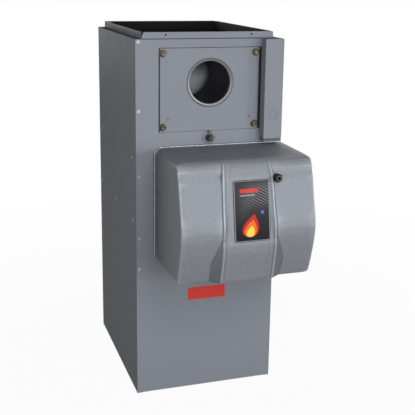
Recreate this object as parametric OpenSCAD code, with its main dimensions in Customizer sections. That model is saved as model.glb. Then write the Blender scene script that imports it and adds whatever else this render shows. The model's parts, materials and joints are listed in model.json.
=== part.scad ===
// Highboy oil furnace: cabinet, heat exchanger, burner under its moulded cover, and blower.
// The origin is the centre of the cabinet's base on the floor. +Z is up and the front faces -Y.

/* [Cabinet] */
// Width of the cabinet
cab_w = 490; // [480:5:560]
// Depth of the cabinet
cab_d = 615; // [600:5:700]
// Height of the casing
cab_h = 1219; // [1200:1:1300]
// Thickness of the casing sheet
sheet = 1; // [0.8:0.1:1.5]
// Width of the side panels' turned-in edges
edge_fold = 20; // [16:1:24]
// Height of the base pan's turned-up edge
pan_rise = 30; // [20:1:50]
// Gap under the blower door
door_lift = 3; // [2:1:10]
// Height of the blower door's top edge above the floor
door_top = 444; // [440:1:460]
// Depth of the folded edge round the blower door
door_fold = 12; // [8:1:20]
// Gap between the blower door and the front panel
door_gap = 0.5; // [0.5:0.5:2]
// Width of the return-air opening in the back
return_w = 340; // [260:5:380]
// Height of the return-air opening in the back
return_h = 300; // [200:5:330]
// Height of the return-air opening's lower edge
return_z = 80; // [50:1:100]
// Diameter of the duct screw holes
duct_hole_d = 6.5; // [4:0.5:8]
// Thickness of the insulation boards
board = 12; // [6:1:15]

/* [Supply collar] */
// Height of the supply collar above the casing
collar_rise = 21.8; // [15:0.1:40]
// Distance from the collar to the cabinet's sides
collar_side_inset = 22.5; // [18:0.5:40]
// Distance from the collar to the cabinet's front
collar_front_inset = 3; // [3:0.5:20]
// Distance from the collar to the cabinet's back
collar_back_inset = 14; // [4:0.5:40]
// Depth of the top frame below the casing's edge
top_drop = 9; // [4:1:15]
// Thickness of the collar's lining
collar_lining_t = 4; // [2:0.5:8]
// Distance between the two holes in the collar's front
collar_hole_span = 290; // [200:5:360]

/* [Flue] */
// Inside diameter of the flue collar
flue_d = 152.4; // [125:0.1:155]
// Sideways place of the flue
flue_x = 5; // [0:1:10]
// Depth of the flue's axis below the casing's top
flue_drop = 142; // [135:1:150]
// Length of the flue collar behind the plate's face
collar_len = 34; // [20:1:60]
// Width of the flue access plate
plate_w = 341; // [330:1:345]
// Height of the flue access plate
plate_h = 272; // [260:1:275]
// Sideways gap between the plate and the front panel
plate_gap = 3.5; // [1:0.5:5]
// Distance between the plate studs, sideways
stud_span_x = 316; // [300:1:320]
// Distance between the plate studs, upright
stud_span_z = 238; // [225:1:245]
// Diameter of the plate studs
stud_d = 8; // [6:0.5:9]

/* [Heat exchanger] */
// Outside diameter of the combustion drum
drum_d = 340; // [320:2:350]
// Height of the combustion drum
drum_h = 432; // [420:1:436]
// Wall of the drum and the radiator
drum_wall = 2.5; // [2:0.5:4]
// Outside diameter of the radiator
radiator_d = 330; // [310:2:340]
// Height of the radiator
radiator_h = 220; // [200:1:225]
// Outside diameter of the crossover pipes
crossover_d = 90; // [70:1:100]
// Diameter of the burner port's neck
port_d = 150; // [130:1:160]

/* [Sight tube and wiring channel] */
// Height of the sight tube above the burner cover's top
sight_rise = 24; // [24:1:28]
// Outside diameter of the sight tube's flange
sight_flange_d = 45; // [40:1:46]
// Outside diameter of the sight tube
sight_tube_d = 24; // [20:1:26]
// Width of the wiring channel
channel_w = 64; // [50:1:64]
// How far the wiring channel stands out of the front
channel_depth = 40; // [30:1:60]
// Length of the wiring channel
channel_len = 329; // [200:1:340]
// Diameter of the knockout in the wiring channel
knockout_d = 30; // [22:1:35]

/* [Burner cover] */
// Sideways place of the cover's centre
cover_x = 39; // [36:1:42]
// Width of the cover
cover_w = 450; // [446:1:454]
// Height of the cover's bottom edge above the floor
cover_z = 492; // [490:1:494]
// Height of the cover
cover_h = 380; // [378:1:382]
// How far the cover reaches forward
cover_reach = 309; // [304:1:330]
// Wall of the cover
cover_wall = 3; // [2:0.5:4]
// How far the front's top edge lies behind the nose
top_setback = 69; // [60:1:72]
// How far the front's bottom edge lies behind the nose
bottom_setback = 42; // [36:1:50]
// Width of the cover's middle column
column_w = 168; // [150:1:172]
// How far the column stands out of the bulges at the bottom
column_proud = 20; // [10:1:24]
// Width of the label plate
label_w = 118; // [90:1:120]
// Height of the label plate
label_h = 190; // [150:1:195]
// Width of the badge plate
badge_w = 134; // [100:1:160]
// Height of the badge plate
badge_h = 45; // [30:1:60]

/* [Burner] */
// Height of the air tube's axis above the floor
burner_z = 640; // [636:1:644]
// Outside diameter of the air tube
air_tube_d = 102; // [96:1:104]
// Depth of the burner fan's shaft in front of the cabinet
fan_reach = 124; // [120:1:130]
// Outside diameter of the burner fan
burner_fan_d = 112; // [100:1:114]
// Number of blades in the burner fan
burner_blades = 24; // [16:1:30]
// Diameter of the burner motor
burner_motor_d = 130; // [110:1:134]
// Length of the burner motor
burner_motor_len = 130; // [100:1:150]
// Outside diameter of the burner's shafts
burner_shaft_d = 12.7; // [10:0.1:14]

/* [Blower] */
// Outside diameter of the blower wheel
wheel_d = 240; // [220:2:242]
// Width of the blower wheel
wheel_w = 190; // [150:2:200]
// Number of blades round the blower wheel
wheel_blades = 36; // [24:1:40]
// Diameter of the blower shaft
shaft_d = 12.7; // [10:0.1:16]
// Diameter of the blower motor
motor_d = 124; // [110:1:130]
// Length of the blower motor
motor_len = 120; // [100:1:130]
// Width of the blower housing
housing_w = 230; // [224:1:236]
// Height of the blower shaft above the floor
shaft_z = 215; // [210:1:220]

/* [Hidden] */

$fn = 48;
seat = 0.3;     // gap at which one piece lies on another
running = 0.05; // radial clearance of a turning or sliding fit
through = 5;    // how far a cut runs past the faces it goes through

front = -cab_d / 2;
back = cab_d / 2;
half_w = cab_w / 2;
panel_back = front + sheet;          // inner face of the front panel and the blower door
fold_back = panel_back + sheet;      // inner face of the side panels' front folds
rear_fold = back - 2 * sheet;        // inner face of the side panels' back folds
inner_half = half_w - sheet;         // half the width between the side panels
lip_half = inner_half - edge_fold - seat;
pan_floor = 1.5;                     // thickness of the base pan's floor

deck_z = door_top + 2;
deck_t = 1.2;
lip_rise = 25;
top_z = cab_h - top_drop;
screw_r = 5.5;
screw_h = 2.8;
screw_hole_r = 1.8;
recess_half = 2.8;                   // reach, width and depth of a screw's cross recess
recess_w = 1.1;
recess_depth = 1.3;
screw_inset = 9.5;
front_screw_drops = [8, 229, 444, 656];
low_screw_z = deck_z + 10;
// Side screws, as distance from the front and depth below the casing's top
side_screws = [[147, 18], [cab_d - 158, 16], [55, 390], [cab_d - 57, 383], [cab_d / 2 + 3.5, 598],
    [47, 604], [cab_d - 39, 594]];

collar_left = -half_w + collar_side_inset;
collar_front = front + collar_front_inset;
collar_back = back - collar_back_inset;
collar_top = cab_h + collar_rise;
collar_chamfer = 12;
duct_hole_z = cab_h + collar_rise * 0.6;

flue_z = cab_h - flue_drop;
flue_r = flue_d / 2;
collar_wall = 1.5;
collar_rim = 4;
plate_x = flue_x - 2;
plate_z = flue_z - 22;
plate_t = 1.5;
plate_front = front + 2;
plate_back = plate_front + plate_t;
plate_slit = 1;                      // gap over and under the plate
gasket_t = 3;
frame_front = plate_back + gasket_t;
frame_t = 3;
frame_bar = 24;
frame_border = 6;
nut_h = 8;
nut_af = 16;
washer_r = 12;
washer_t = 1.5;
stud_reach = 14;
small_screw_x = 141;
small_screw_z = 94;
opening_w = plate_w + 2 * plate_gap;
opening_h = plate_h + 2 * plate_slit;

vessel_y = 85;
drum_r = drum_d / 2;
drum_foot_h = 44;
drum_z = deck_z + deck_t + drum_foot_h + seat;
radiator_z = drum_z + drum_h + 35;
radiator_r = radiator_d / 2;
flue_pipe_r = flue_r + collar_wall + seat;
flue_pipe_wall = 2;
flue_pipe_end = vessel_y - radiator_r + 25;
port_r = port_d / 2;
port_ring_t = 6;
crossover_end = 8;                   // how far the crossover pipes reach into both vessels
bolt_r = 4;
bolt_hole_r = 4.2;
bolt_head_r = 7.5;
bolt_head_h = 5.5;
port_plate_w = 150;
port_bolt_pcd = 176;
liner_t = 20;

sight_x = 3;
sight_z = cover_z + cover_h + sight_rise;
sight_flange_t = 4;
sight_pin_r = 3;
sight_pin_rise = 17;
sight_cap_r = 14;
channel_right = half_w;
channel_left = channel_right - channel_w;
channel_top = cab_h;
channel_z = channel_top - channel_len;
channel_clear = 12;                  // gap kept between the channel and the burner cover
limit_z = channel_z + 190;
limit_x = (channel_left + channel_right) / 2;
limit_rod_r = 4;

cover_lip = 2.5;                     // how far the rolled rear edge stands out of the cover
cover_lip_depth = 5;
cover_half = cover_w / 2 - cover_lip;
body_h = cover_h - cover_lip;
cover_top = cover_z + cover_h;
cover_left_corner = 25;              // radius of the top edge at the left rear corner
cover_right_corner = 6;              // and at the right rear corner
cover_top_corner = 9;                // and at both front corners
cover_foot_corner = 12;              // radius of the bottom edges
cover_front_corner = 8;              // radius of the upright front edges
side_straight = 193;                 // depth at which the cover's sides turn in
side_taper = 2;
chin_rise = 148;                     // height below which the cover's chin falls back
bead_w = 9;
bead_h = 2.5;
bead_foot = 0.4;                      // rise of the surface at the foot of a bead
scallop_lean = 1.6;
label_t = 2;
column_bevel = 13;                   // width of the slanted band inside each bead
flat_low = 127;                      // the column's flat face, above the cover's bottom
flat_high = body_h - 47;
flat_low_reach = cover_reach + 1;
flat_high_reach = cover_reach - 34;
label_x = cover_x + 8.5;
label_z = cover_z + (flat_low + flat_high) / 2;
label_rim = 4;
vent_half = 150;                     // the opening in the cover's bottom
vent_back = 40;
vent_front = 200;
hanger_left = 150;                   // the hangers' distance from the cover's middle
hanger_right = 140;
hanger_w = 30;
hanger_h = 40;
hanger_t = 2;
latch_rise = 80;                     // height of the latch bracket's foot above the control
latch_w = 30;
latch_t = 2;
latch_depth = 53;                    // how far the latch lies behind the cover's nose
knob_x = cover_x + column_w / 2 + 8;
knob_z = cover_z + cover_h - 54;
knob_shank_r = 3;
knob_r = 9.5;
knob_head = 16;                      // thickness of the knob's head
knob_neck = 9;                       // length of its neck
knob_foot = 5;                       // gap kept between the knob and the cover's face
knob_flutes = 10;
latch_y = front - cover_reach + latch_depth;
badge_t = 1.2;
badge_x = 2;
badge_z = door_top - 95;

burner_x = 0;
fan_y = front - fan_reach;
fan_z = burner_z - 40;
fan_r = burner_fan_d / 2;
burner_case_w = 96;
case_wall = 4;
burner_scroll_start = fan_r + 7;
burner_scroll_end = fan_r + 33;
flange_t = 6;
flange_front = front - gasket_t - flange_t;
case_back = flange_front;
tube_r = air_tube_d / 2;
tube_wall = 1.2;
tube_end = vessel_y - drum_r - 8;
electrode_r = 4;
electrode_rise = 13;
inlet_r = 50;
inlet_len = 30;
damper_t = 1.5;
pump_r = 33;
pump_len = 62;
oil_r = 3;
oil_port_y = case_back - 24;          // where the oil line enters the housing
burner_shaft_r = burner_shaft_d / 2;
motor_face_x = burner_x + burner_case_w / 2;
igniter_w = 92;
igniter_front = 45;                  // the ignition transformer's reach before and behind the fan's shaft
igniter_back = 60;
igniter_h = 62;
bushing_h = 8;
control_z = fan_z + burner_motor_d / 2 + 14;
control_w = 102;
control_front = 40;
control_back = 50;
control_base_h = 20;
control_face = fan_y - 34;
button_x = motor_face_x + 40;
button_z = control_z + 50;
button_r = 7;

shaft_y = 40;
wheel_r = wheel_d / 2;
wheel_in_r = wheel_r - 22;
scroll_start = wheel_r + 12;
scroll_end = wheel_r + 75;
scroll_cut = 100;                    // angle at which the scroll starts, from the outlet's side
housing_t = 1.2;
housing_top = deck_z - seat;
inlet_hole_r = wheel_in_r + 2;
rail_t = 1.5;
band_w = 16;                         // the band that holds the blower motor
band_t = 2;
arm_t = 2.5;
motor_x = 30;
box_x = -inner_half + seat;
box_y = -140;
box_z = 220;
box_depth = 45;
box_len = 180;
box_h = 150;
box_wall = 1.5;
board_margin = 11;
board_block = 7.5;                   // depth of the circuit board with its standoffs
relays = 4;
relay_pitch = 34;
switch_depth = 30;
plunger_r = 3;
switch_x = -lip_half + 22;
switch_z = deck_z - 20;

// A box between two opposite corners
module block(low, high) {
    translate(low) cube(high - low);
}

// A round bar along Y
module bar_y(x, z, y0, y1, r, sides = $fn) {
    translate([x, y0, z]) rotate([-90, 0, 0]) cylinder(r = r, h = y1 - y0, $fn = sides);
}

// A round bar along X
module bar_x(y, z, x0, x1, r, sides = $fn) {
    translate([x0, y, z]) rotate([0, 90, 0]) cylinder(r = r, h = x1 - x0, $fn = sides);
}

// A round bar along Z
module bar_z(x, y, z0, z1, r) {
    translate([x, y, z0]) cylinder(r = r, h = z1 - z0);
}

// A tube along Y
module tube_y(x, z, y0, y1, r_out, r_in) {
    difference() {
        bar_y(x, z, y0, y1, r_out);
        bar_y(x, z, y0 - through, y1 + through, r_in);
    }
}

// A rectangle with round corners, about the origin
module round_rect(w, h, r) {
    square([w - 2 * r, h], center = true);
    square([w, h - 2 * r], center = true);
    for (x = [-1, 1], y = [-1, 1]) translate([x * (w / 2 - r), y * (h / 2 - r)]) circle(r = r);
}

// An upright plate with round corners, facing the front
module upright_plate(x, z, w, h, y0, y1, r) {
    translate([x, y1, z]) rotate([90, 0, 0]) linear_extrude(y1 - y0) round_rect(w, h, r);
}

// A closed round vessel with rolled edges, on the heat exchanger's axis
module vessel(r, z0, z1, fillet) {
    translate([0, vessel_y, z0]) rotate_extrude() {
        square([r - fillet, z1 - z0]);
        translate([0, fillet]) square([r, z1 - z0 - 2 * fillet]);
        for (z = [fillet, z1 - z0 - fillet]) translate([r - fillet, z]) intersection() {
            circle(r = fillet);
            translate([-r + fillet, -fillet]) square([r, 2 * fillet]);
        }
    }
}

// The points of a blower scroll seen along its shaft, with the outlet upwards on the +X side
function scroll_points(r_start, r_end, cut, rise, inset) =
    let (steps = 20,
         span = 360 - cut,
         tongue_x = r_start * cos(cut) + inset)
    concat(
        [[r_end - inset, rise], [tongue_x, rise]],
        [for (i = [0 : steps])
            let (a = cut + span * i / steps,
                 r = r_start + (r_end - r_start) * i / steps - inset)
            [r * cos(a), r * sin(a)]]);

// One blade of a blower wheel seen along its shaft
function blade_points(r_in, r_out, thick, lean) =
    let (steps = 3,
         half = [for (i = [0 : steps])
             let (t = i / steps, r = r_in + (r_out - r_in) * t) [r, lean * t * t, thick / r * 28.6]])
    concat(
        [for (p = half) p[0] * [cos(p[1] - p[2]), sin(p[1] - p[2])]],
        [for (i = [steps : -1 : 0]) let (p = half[i]) p[0] * [cos(p[1] + p[2]), sin(p[1] + p[2])]]);

// A blower wheel along Z: two rims, a middle plate with a hub, and the blades
module blade_wheel(r_in, r_out, w, count, thick, plate_at, hub_r, hub_len, bore_r) {
    rim = 3;
    difference() {
        union() {
            for (z = [0, w - rim]) translate([0, 0, z]) difference() {
                cylinder(r = r_out, h = rim);
                translate([0, 0, -through]) cylinder(r = r_in, h = rim + 2 * through);
            }
            for (i = [0 : count - 1]) rotate([0, 0, i * 360 / count]) linear_extrude(w)
                polygon(blade_points(r_in + 0.5, r_out - 0.5, thick, 14));
            translate([0, 0, plate_at]) cylinder(r = r_out - 2, h = rim);
            translate([0, 0, plate_at + rim / 2 - hub_len / 2]) cylinder(r = hub_r, h = hub_len);
        }
        translate([0, 0, -2 * hub_len]) cylinder(r = bore_r, h = w + 4 * hub_len);
    }
}

// A pan-head screw whose head stands out towards -Y
module screw_y(x, z, y) {
    translate([x, y, z]) rotate([90, 0, 0]) screw_head();
}

module screw_head() {
    difference() {
        rotate_extrude() {
            square([screw_r, screw_h / 2]);
            translate([0, screw_h / 2]) square([screw_r * 0.7, screw_h / 2]);
            translate([0, -sheet]) square([screw_hole_r - running, sheet]);
        }
        for (a = [0, 90]) rotate([0, 0, a]) block([-recess_half, -recess_w / 2, screw_h - recess_depth],
            [recess_half, recess_w / 2, screw_h + through]);
    }
}

// Cabinet

module base_pan() {
    color("dimgray") difference() {
        block([-inner_half, fold_back, 0], [inner_half, rear_fold, pan_rise]);
        block([-inner_half + sheet, fold_back + sheet, pan_floor],
              [inner_half - sheet, rear_fold - sheet, pan_rise + through]);
    }
}

// One side panel, drawn on the left
module side_panel() {
    difference() {
        block([-half_w, panel_back, 0], [-inner_half + edge_fold, back - sheet, cab_h]);
        block([-inner_half, fold_back, -through], [inner_half, rear_fold, cab_h + through]);
        for (s = side_screws) bar_x(front + s[0], cab_h - s[1], -half_w - through,
            -inner_half + through, screw_hole_r);
        for (z = panel_screw_heights()) bar_y(-half_w + screw_inset, z, front, fold_back + through,
            screw_hole_r);
    }
}

function panel_screw_heights() = concat([for (d = front_screw_drops) cab_h - d], [low_screw_z]);

module left_side_panel() {
    color("slategray") side_panel();
}

module right_side_panel() {
    color("slategray") mirror([1, 0, 0]) side_panel();
}

module back_panel() {
    color("slategray") difference() {
        block([-half_w, back - sheet, 0], [half_w, back, cab_h]);
        block([-return_w / 2, back - sheet - through, return_z],
              [return_w / 2, back + through, return_z + return_h]);
        for (x = [-1, 1], z = [-1, 1])
            bar_y(x * (return_w / 2 + 15), return_z + return_h / 2 + z * (return_h / 2 + 15),
                  back - sheet - through, back + through, duct_hole_d / 2);
    }
}

module front_panel() {
    color("lightslategray") difference() {
        block([-half_w, front, door_top + door_gap], [half_w, panel_back, cab_h]);
        block([plate_x - opening_w / 2, front - through, plate_z - opening_h / 2],
              [plate_x + opening_w / 2, panel_back + through, plate_z + opening_h / 2]);
        bar_y(burner_x, burner_z, front - through, panel_back + through, tube_r + 4);
        for (a = [45 : 90 : 315]) bar_y(burner_x + port_bolt_pcd / 2 * cos(a),
            burner_z + port_bolt_pcd / 2 * sin(a), front - through, panel_back + through, bolt_hole_r);
        bar_y(sight_x, sight_z, front - through, panel_back + through, sight_tube_d / 2 + seat);
        bar_y(limit_x, limit_z, front - through, panel_back + through, limit_rod_r + seat);
        for (side = [-1, 1], z = panel_screw_heights())
            bar_y(side * (half_w - screw_inset), z, front - through, panel_back + through,
                  screw_hole_r);
    }
}

// One upright wall of the supply collar with its corners cut, drawn along X from 0
module collar_wall_strip(len) {
    rise = collar_top - top_z + sheet;
    rotate([90, 0, 0]) linear_extrude(sheet) polygon([[0, 0], [len, 0],
        [len, rise - collar_chamfer], [len - collar_chamfer / 2, rise],
        [collar_chamfer / 2, rise], [0, rise - collar_chamfer]]);
}

module top_frame() {
    span_x = -2 * collar_left;
    span_y = collar_back - collar_front;
    color("lightslategray") difference() {
        union() {
            difference() {
                block([-inner_half, fold_back, top_z - sheet], [inner_half, rear_fold, top_z]);
                block([collar_left + sheet, collar_front + sheet, top_z - sheet - through],
                      [-collar_left - sheet, collar_back - sheet, top_z + through]);
            }
            translate([collar_left, collar_front + sheet, top_z - sheet]) collar_wall_strip(span_x);
            translate([collar_left, collar_back, top_z - sheet]) collar_wall_strip(span_x);
            for (x = [collar_left, -collar_left - sheet])
                translate([x, collar_front + collar_chamfer, top_z - sheet])
                    rotate([0, 0, 90]) collar_wall_strip(span_y - 2 * collar_chamfer);
        }
        for (x = [-1, 1], y = [collar_front, collar_back - sheet])
            bar_y(x * collar_hole_span / 2, duct_hole_z, y - sheet, y + 2 * sheet, duct_hole_d / 2);
    }
}

// The black lining inside the collar's walls
module collar_lining() {
    x = -collar_left - sheet - seat;
    y0 = collar_front + sheet + seat;
    y1 = collar_back - sheet - seat;
    color("#1c1c1e") difference() {
        block([-x, y0, top_z - sheet], [x, y1, collar_top - 1]);
        block([-x + collar_lining_t, y0 + collar_lining_t, top_z - sheet - through],
              [x - collar_lining_t, y1 - collar_lining_t, collar_top + through]);
        for (side = [-1, 1]) bar_y(side * collar_hole_span / 2, duct_hole_z, y0 - through,
            y1 + through, duct_hole_d / 2);
    }
}

module casing_screws() {
    color("silver") {
        for (side = [-1, 1], z = panel_screw_heights())
            if (side < 0 || z < channel_z) screw_y(side * (half_w - screw_inset), z, front);
        for (side = [-1, 1], s = side_screws)
            translate([side * half_w, front + s[0], cab_h - s[1]]) rotate([0, side * 90, 0])
                screw_head();
        for (x = [-1, 1], z = [-1, 1]) screw_y(plate_x + x * small_screw_x,
            plate_z + z * small_screw_z, plate_front);
    }
}

module blower_deck() {
    outlet_y = shaft_y + scroll_start * cos(scroll_cut);
    color("gray") difference() {
        union() {
            block([-inner_half + seat, fold_back, deck_z], [inner_half - seat, rear_fold, deck_z + deck_t]);
            block([-lip_half, panel_back, deck_z], [lip_half, fold_back + seat, deck_z + lip_rise]);
        }
        block([-housing_w / 2, outlet_y, deck_z - through],
              [housing_w / 2, shaft_y + scroll_end, deck_z + through]);
    }
}

module liner_boards() {
    z0 = deck_z + deck_t + seat;
    z1 = top_z - sheet - seat;
    color("#1c1c1e") {
        for (x = [-inner_half + seat, inner_half - seat - board])
            block([x, fold_back + seat, z0], [x + board, rear_fold - seat, z1]);
        block([-inner_half + board + 2 * seat, rear_fold - seat - board, z0],
              [inner_half - board - 2 * seat, rear_fold - seat, z1]);
    }
}

// Heat exchanger

module combustion_drum() {
    foot_angles = [30, 150, 210, 330];
    foot_r = drum_r - 14;
    color("#3a3835") difference() {
        union() {
            difference() {
                vessel(drum_r, drum_z, drum_z + drum_h, 20);
                vessel(drum_r - drum_wall, drum_z + drum_wall, drum_z + drum_h - drum_wall, 18);
            }
            difference() {
                bar_y(burner_x, burner_z, panel_back + port_ring_t, vessel_y, port_r);
                vessel(drum_r - drum_wall, drum_z + drum_wall, drum_z + drum_h - drum_wall, 18);
            }
            bar_y(burner_x, burner_z, panel_back, panel_back + port_ring_t, port_bolt_pcd / 2 + 10);
            for (a = foot_angles) translate([foot_r * cos(a), vessel_y + foot_r * sin(a), 0])
                block([-9, -9, drum_z - drum_foot_h], [9, 9, drum_z + drum_wall]);
        }
        bar_y(burner_x, burner_z, panel_back - through, vessel_y - drum_r + 60, port_r - drum_wall);
        for (a = [45 : 90 : 315]) bar_y(burner_x + port_bolt_pcd / 2 * cos(a),
            burner_z + port_bolt_pcd / 2 * sin(a), panel_back - through,
            panel_back + port_ring_t + through, bolt_hole_r);
        bar_y(sight_x, sight_z, panel_back, vessel_y, sight_tube_d / 2 + running);
        for (x = [-1, 1]) bar_z(x * crossover_x(), crossover_y(), drum_z + drum_h / 2,
            drum_z + drum_h + through, crossover_d / 2 + seat);
    }
}

function crossover_x() = crossover_d / 2 + 10;
function crossover_y() = vessel_y + drum_r / 3;

module chamber_liner() {
    liner_r = drum_r - drum_wall - seat;
    color("#b9a98c") difference() {
        vessel(liner_r, drum_z + drum_wall + seat, drum_z + drum_h * 0.75, 18);
        translate([0, vessel_y, drum_z + drum_wall + liner_t])
            cylinder(r = liner_r - liner_t, h = drum_h);
        bar_y(burner_x, burner_z, front, vessel_y, tube_r + 2);
    }
}

module crossover_pipes() {
    color("#3a3835") for (x = [-1, 1]) difference() {
        bar_z(x * crossover_x(), crossover_y(), drum_z + drum_h - crossover_end,
            radiator_z + crossover_end, crossover_d / 2);
        bar_z(x * crossover_x(), crossover_y(), drum_z, radiator_z + radiator_h,
            crossover_d / 2 - drum_wall);
    }
}

module radiator() {
    color("#3a3835") difference() {
        vessel(radiator_r, radiator_z, radiator_z + radiator_h, 20);
        vessel(radiator_r - drum_wall, radiator_z + drum_wall, radiator_z + radiator_h - drum_wall, 18);
        bar_y(flue_x, flue_z, front, vessel_y, flue_pipe_r + flue_pipe_wall + running);
        for (x = [-1, 1]) bar_z(x * crossover_x(), crossover_y(), radiator_z - through,
            radiator_z + radiator_h / 2, crossover_d / 2 + seat);
    }
}

module radiator_baffle() {
    y = flue_pipe_end + 60;
    gap = drum_wall + seat;
    color("#8a8c8e") intersection() {
        block([-radiator_r, y - drum_wall, radiator_z], [radiator_r, y, radiator_z + radiator_h - 45]);
        vessel(radiator_r - gap, radiator_z + gap, radiator_z + radiator_h - gap, 18);
    }
}

// Flue

module flue_pipe() {
    color("#17171a") tube_y(flue_x, flue_z, frame_front, flue_pipe_end,
        flue_pipe_r + flue_pipe_wall, flue_pipe_r);
}

module plate_frame() {
    color("gray") difference() {
        block([plate_x - opening_w / 2 - frame_border, panel_back,
               plate_z - opening_h / 2 - frame_border],
              [plate_x + opening_w / 2 + frame_border, frame_front + frame_t,
               plate_z + opening_h / 2 + frame_border]);
        block([plate_x - opening_w / 2, front, plate_z - opening_h / 2],
              [plate_x + opening_w / 2, frame_front, plate_z + opening_h / 2]);
        block([plate_x - opening_w / 2 + frame_bar, front, plate_z - opening_h / 2 + frame_bar],
              [plate_x + opening_w / 2 - frame_bar, frame_front + 20, plate_z + opening_h / 2 - frame_bar]);
    }
    color("silver") for (x = [-1, 1], z = [-1, 1])
        bar_y(plate_x + x * stud_span_x / 2, plate_z + z * stud_span_z / 2,
              plate_front - stud_reach, frame_front + frame_t, stud_d / 2);
}

// A board or plate the size of the access plate, with its flue and stud holes
module plate_form(y0, y1, flue_hole_r) {
    difference() {
        block([plate_x - plate_w / 2, y0, plate_z - plate_h / 2],
              [plate_x + plate_w / 2, y1, plate_z + plate_h / 2]);
        bar_y(flue_x, flue_z, y0 - through, y1 + through, flue_hole_r);
        for (x = [-1, 1], z = [-1, 1]) {
            bar_y(plate_x + x * stud_span_x / 2, plate_z + z * stud_span_z / 2,
                  y0 - through, y1 + through, stud_d / 2 + seat);
            bar_y(plate_x + x * small_screw_x, plate_z + z * small_screw_z,
                  y0 - through, y1 + through, screw_hole_r);
        }
    }
}

module plate_gasket() {
    color("#c9c4b4") plate_form(plate_back, frame_front, flue_r + collar_wall + running);
}

module flue_access_plate() {
    color("lightslategray") plate_form(plate_front, plate_back, flue_r + collar_wall + running);
}

module flue_collar() {
    color("gray") difference() {
        union() {
            bar_y(flue_x, flue_z, plate_front - 2, plate_front, flue_r + collar_rim);
            bar_y(flue_x, flue_z, plate_front - 2, plate_front + collar_len, flue_r + collar_wall);
        }
        bar_y(flue_x, flue_z, front - 20, plate_front + collar_len + through, flue_r);
    }
}

module plate_nuts() {
    color("goldenrod") for (x = [-1, 1], z = [-1, 1]) difference() {
        union() {
            bar_y(plate_x + x * stud_span_x / 2, plate_z + z * stud_span_z / 2,
                  plate_front - washer_t, plate_front, washer_r);
            bar_y(plate_x + x * stud_span_x / 2, plate_z + z * stud_span_z / 2,
                  plate_front - washer_t - nut_h, plate_front - washer_t, nut_af / sqrt(3), 6);
        }
        bar_y(plate_x + x * stud_span_x / 2, plate_z + z * stud_span_z / 2,
              plate_front - stud_reach - through, front + 10, stud_d / 2 + running);
    }
}

// Sight tube and wiring channel

module sight_tube() {
    color("gray") {
        difference() {
            union() {
                bar_y(sight_x, sight_z, front - sight_flange_t, front, sight_flange_d / 2);
                bar_y(sight_x, sight_z, front - sight_flange_t, vessel_y - drum_r + 6, sight_tube_d / 2);
            }
            bar_y(sight_x, sight_z, front - 20, vessel_y, sight_tube_d / 2 - 2);
        }
        bar_y(sight_x, sight_z + sight_pin_rise, front - sight_flange_t - 6,
              front - sight_flange_t, sight_pin_r);
    }
}

module sight_cap() {
    cap_back = front - sight_flange_t - seat;
    color("#151517") difference() {
        union() {
            bar_y(sight_x, sight_z, cap_back - 4, cap_back, sight_cap_r);
            bar_y(sight_x, sight_z + sight_pin_rise, cap_back - 4, cap_back, sight_pin_r + 3.5);
            block([sight_x - 6, cap_back - 4, sight_z], [sight_x + 6, cap_back, sight_z + sight_pin_rise]);
            bar_y(sight_x, sight_z, cap_back - 18, cap_back - 4, 8);
        }
        bar_y(sight_x, sight_z + sight_pin_rise, cap_back - 20, cap_back + 2, sight_pin_r + running);
    }
}

module wiring_channel() {
    channel_front = front - channel_depth;
    knock_z = channel_z + 80;
    color("lightslategray") difference() {
        block([channel_left, channel_front, channel_z], [channel_right, front, channel_top]);
        block([channel_left + sheet, channel_front + sheet, channel_z - through],
              [channel_right - sheet, front - sheet, channel_top + through]);
        block([channel_left + 13, front - sheet - through, channel_z - through],
              [channel_right - 13, front + through, channel_top + through]);
        block([cover_x - cover_w / 2, channel_front - through, cover_z],
              [cover_x + cover_w / 2, front + through, cover_top + channel_clear]);
        difference() {
            tube_y(limit_x, knock_z, channel_front - through, channel_front + sheet + 1,
                   knockout_d / 2, knockout_d / 2 - 0.8);
            block([limit_x - 2, channel_front - 2 * through, knock_z - knockout_d],
                  [limit_x + 2, front, knock_z + knockout_d]);
        }
    }
}

module limit_switch() {
    color("#d8d4c8") block([limit_x - 18, front - 30, limit_z - 26],
        [limit_x + 18, front - seat, limit_z + 26]);
    color("silver") bar_y(limit_x, limit_z, front - seat, front + 75, limit_rod_r);
}

// Blower door

module blower_door() {
    tray_half = lip_half - 1;
    tray_z = pan_rise + 2;
    color("lightslategray") {
        block([-half_w, front, door_lift], [half_w, panel_back, door_top]);
        difference() {
            block([-tray_half, panel_back, tray_z], [tray_half, panel_back + door_fold, door_top]);
            block([-tray_half + sheet, panel_back - through, tray_z + sheet],
                  [tray_half - sheet, panel_back + door_fold + through, door_top - sheet]);
        }
    }
}

module badge_plate() {
    color("#c8281e") upright_plate(badge_x, badge_z, badge_w, badge_h, front - badge_t, front, 6);
}

// Burner cover

// How far the side bulges reach forward, by height above the cover's bottom edge
function bulge_reach(h) = lookup(h, [
    [0, cover_reach - bottom_setback - 5],
    [4, cover_reach - bottom_setback],
    [chin_rise - 98, cover_reach - bottom_setback * 0.6],
    [chin_rise - 50, cover_reach - bottom_setback * 0.26],
    [chin_rise - 20, cover_reach - 4],
    [chin_rise, cover_reach - 1],
    [chin_rise + 23, cover_reach],
    [chin_rise + 51, cover_reach - 4],
    [body_h - 123, cover_reach - 20],
    [body_h - 77, cover_reach - 31],
    [body_h - 59, cover_reach - 35],
    [body_h - 40, cover_reach - 43],
    [body_h - 24, cover_reach - 46],
    [body_h - 15, cover_reach - 51],
    [body_h - 7, cover_reach - top_setback + 11],
    [body_h, cover_reach - top_setback]]);

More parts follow.
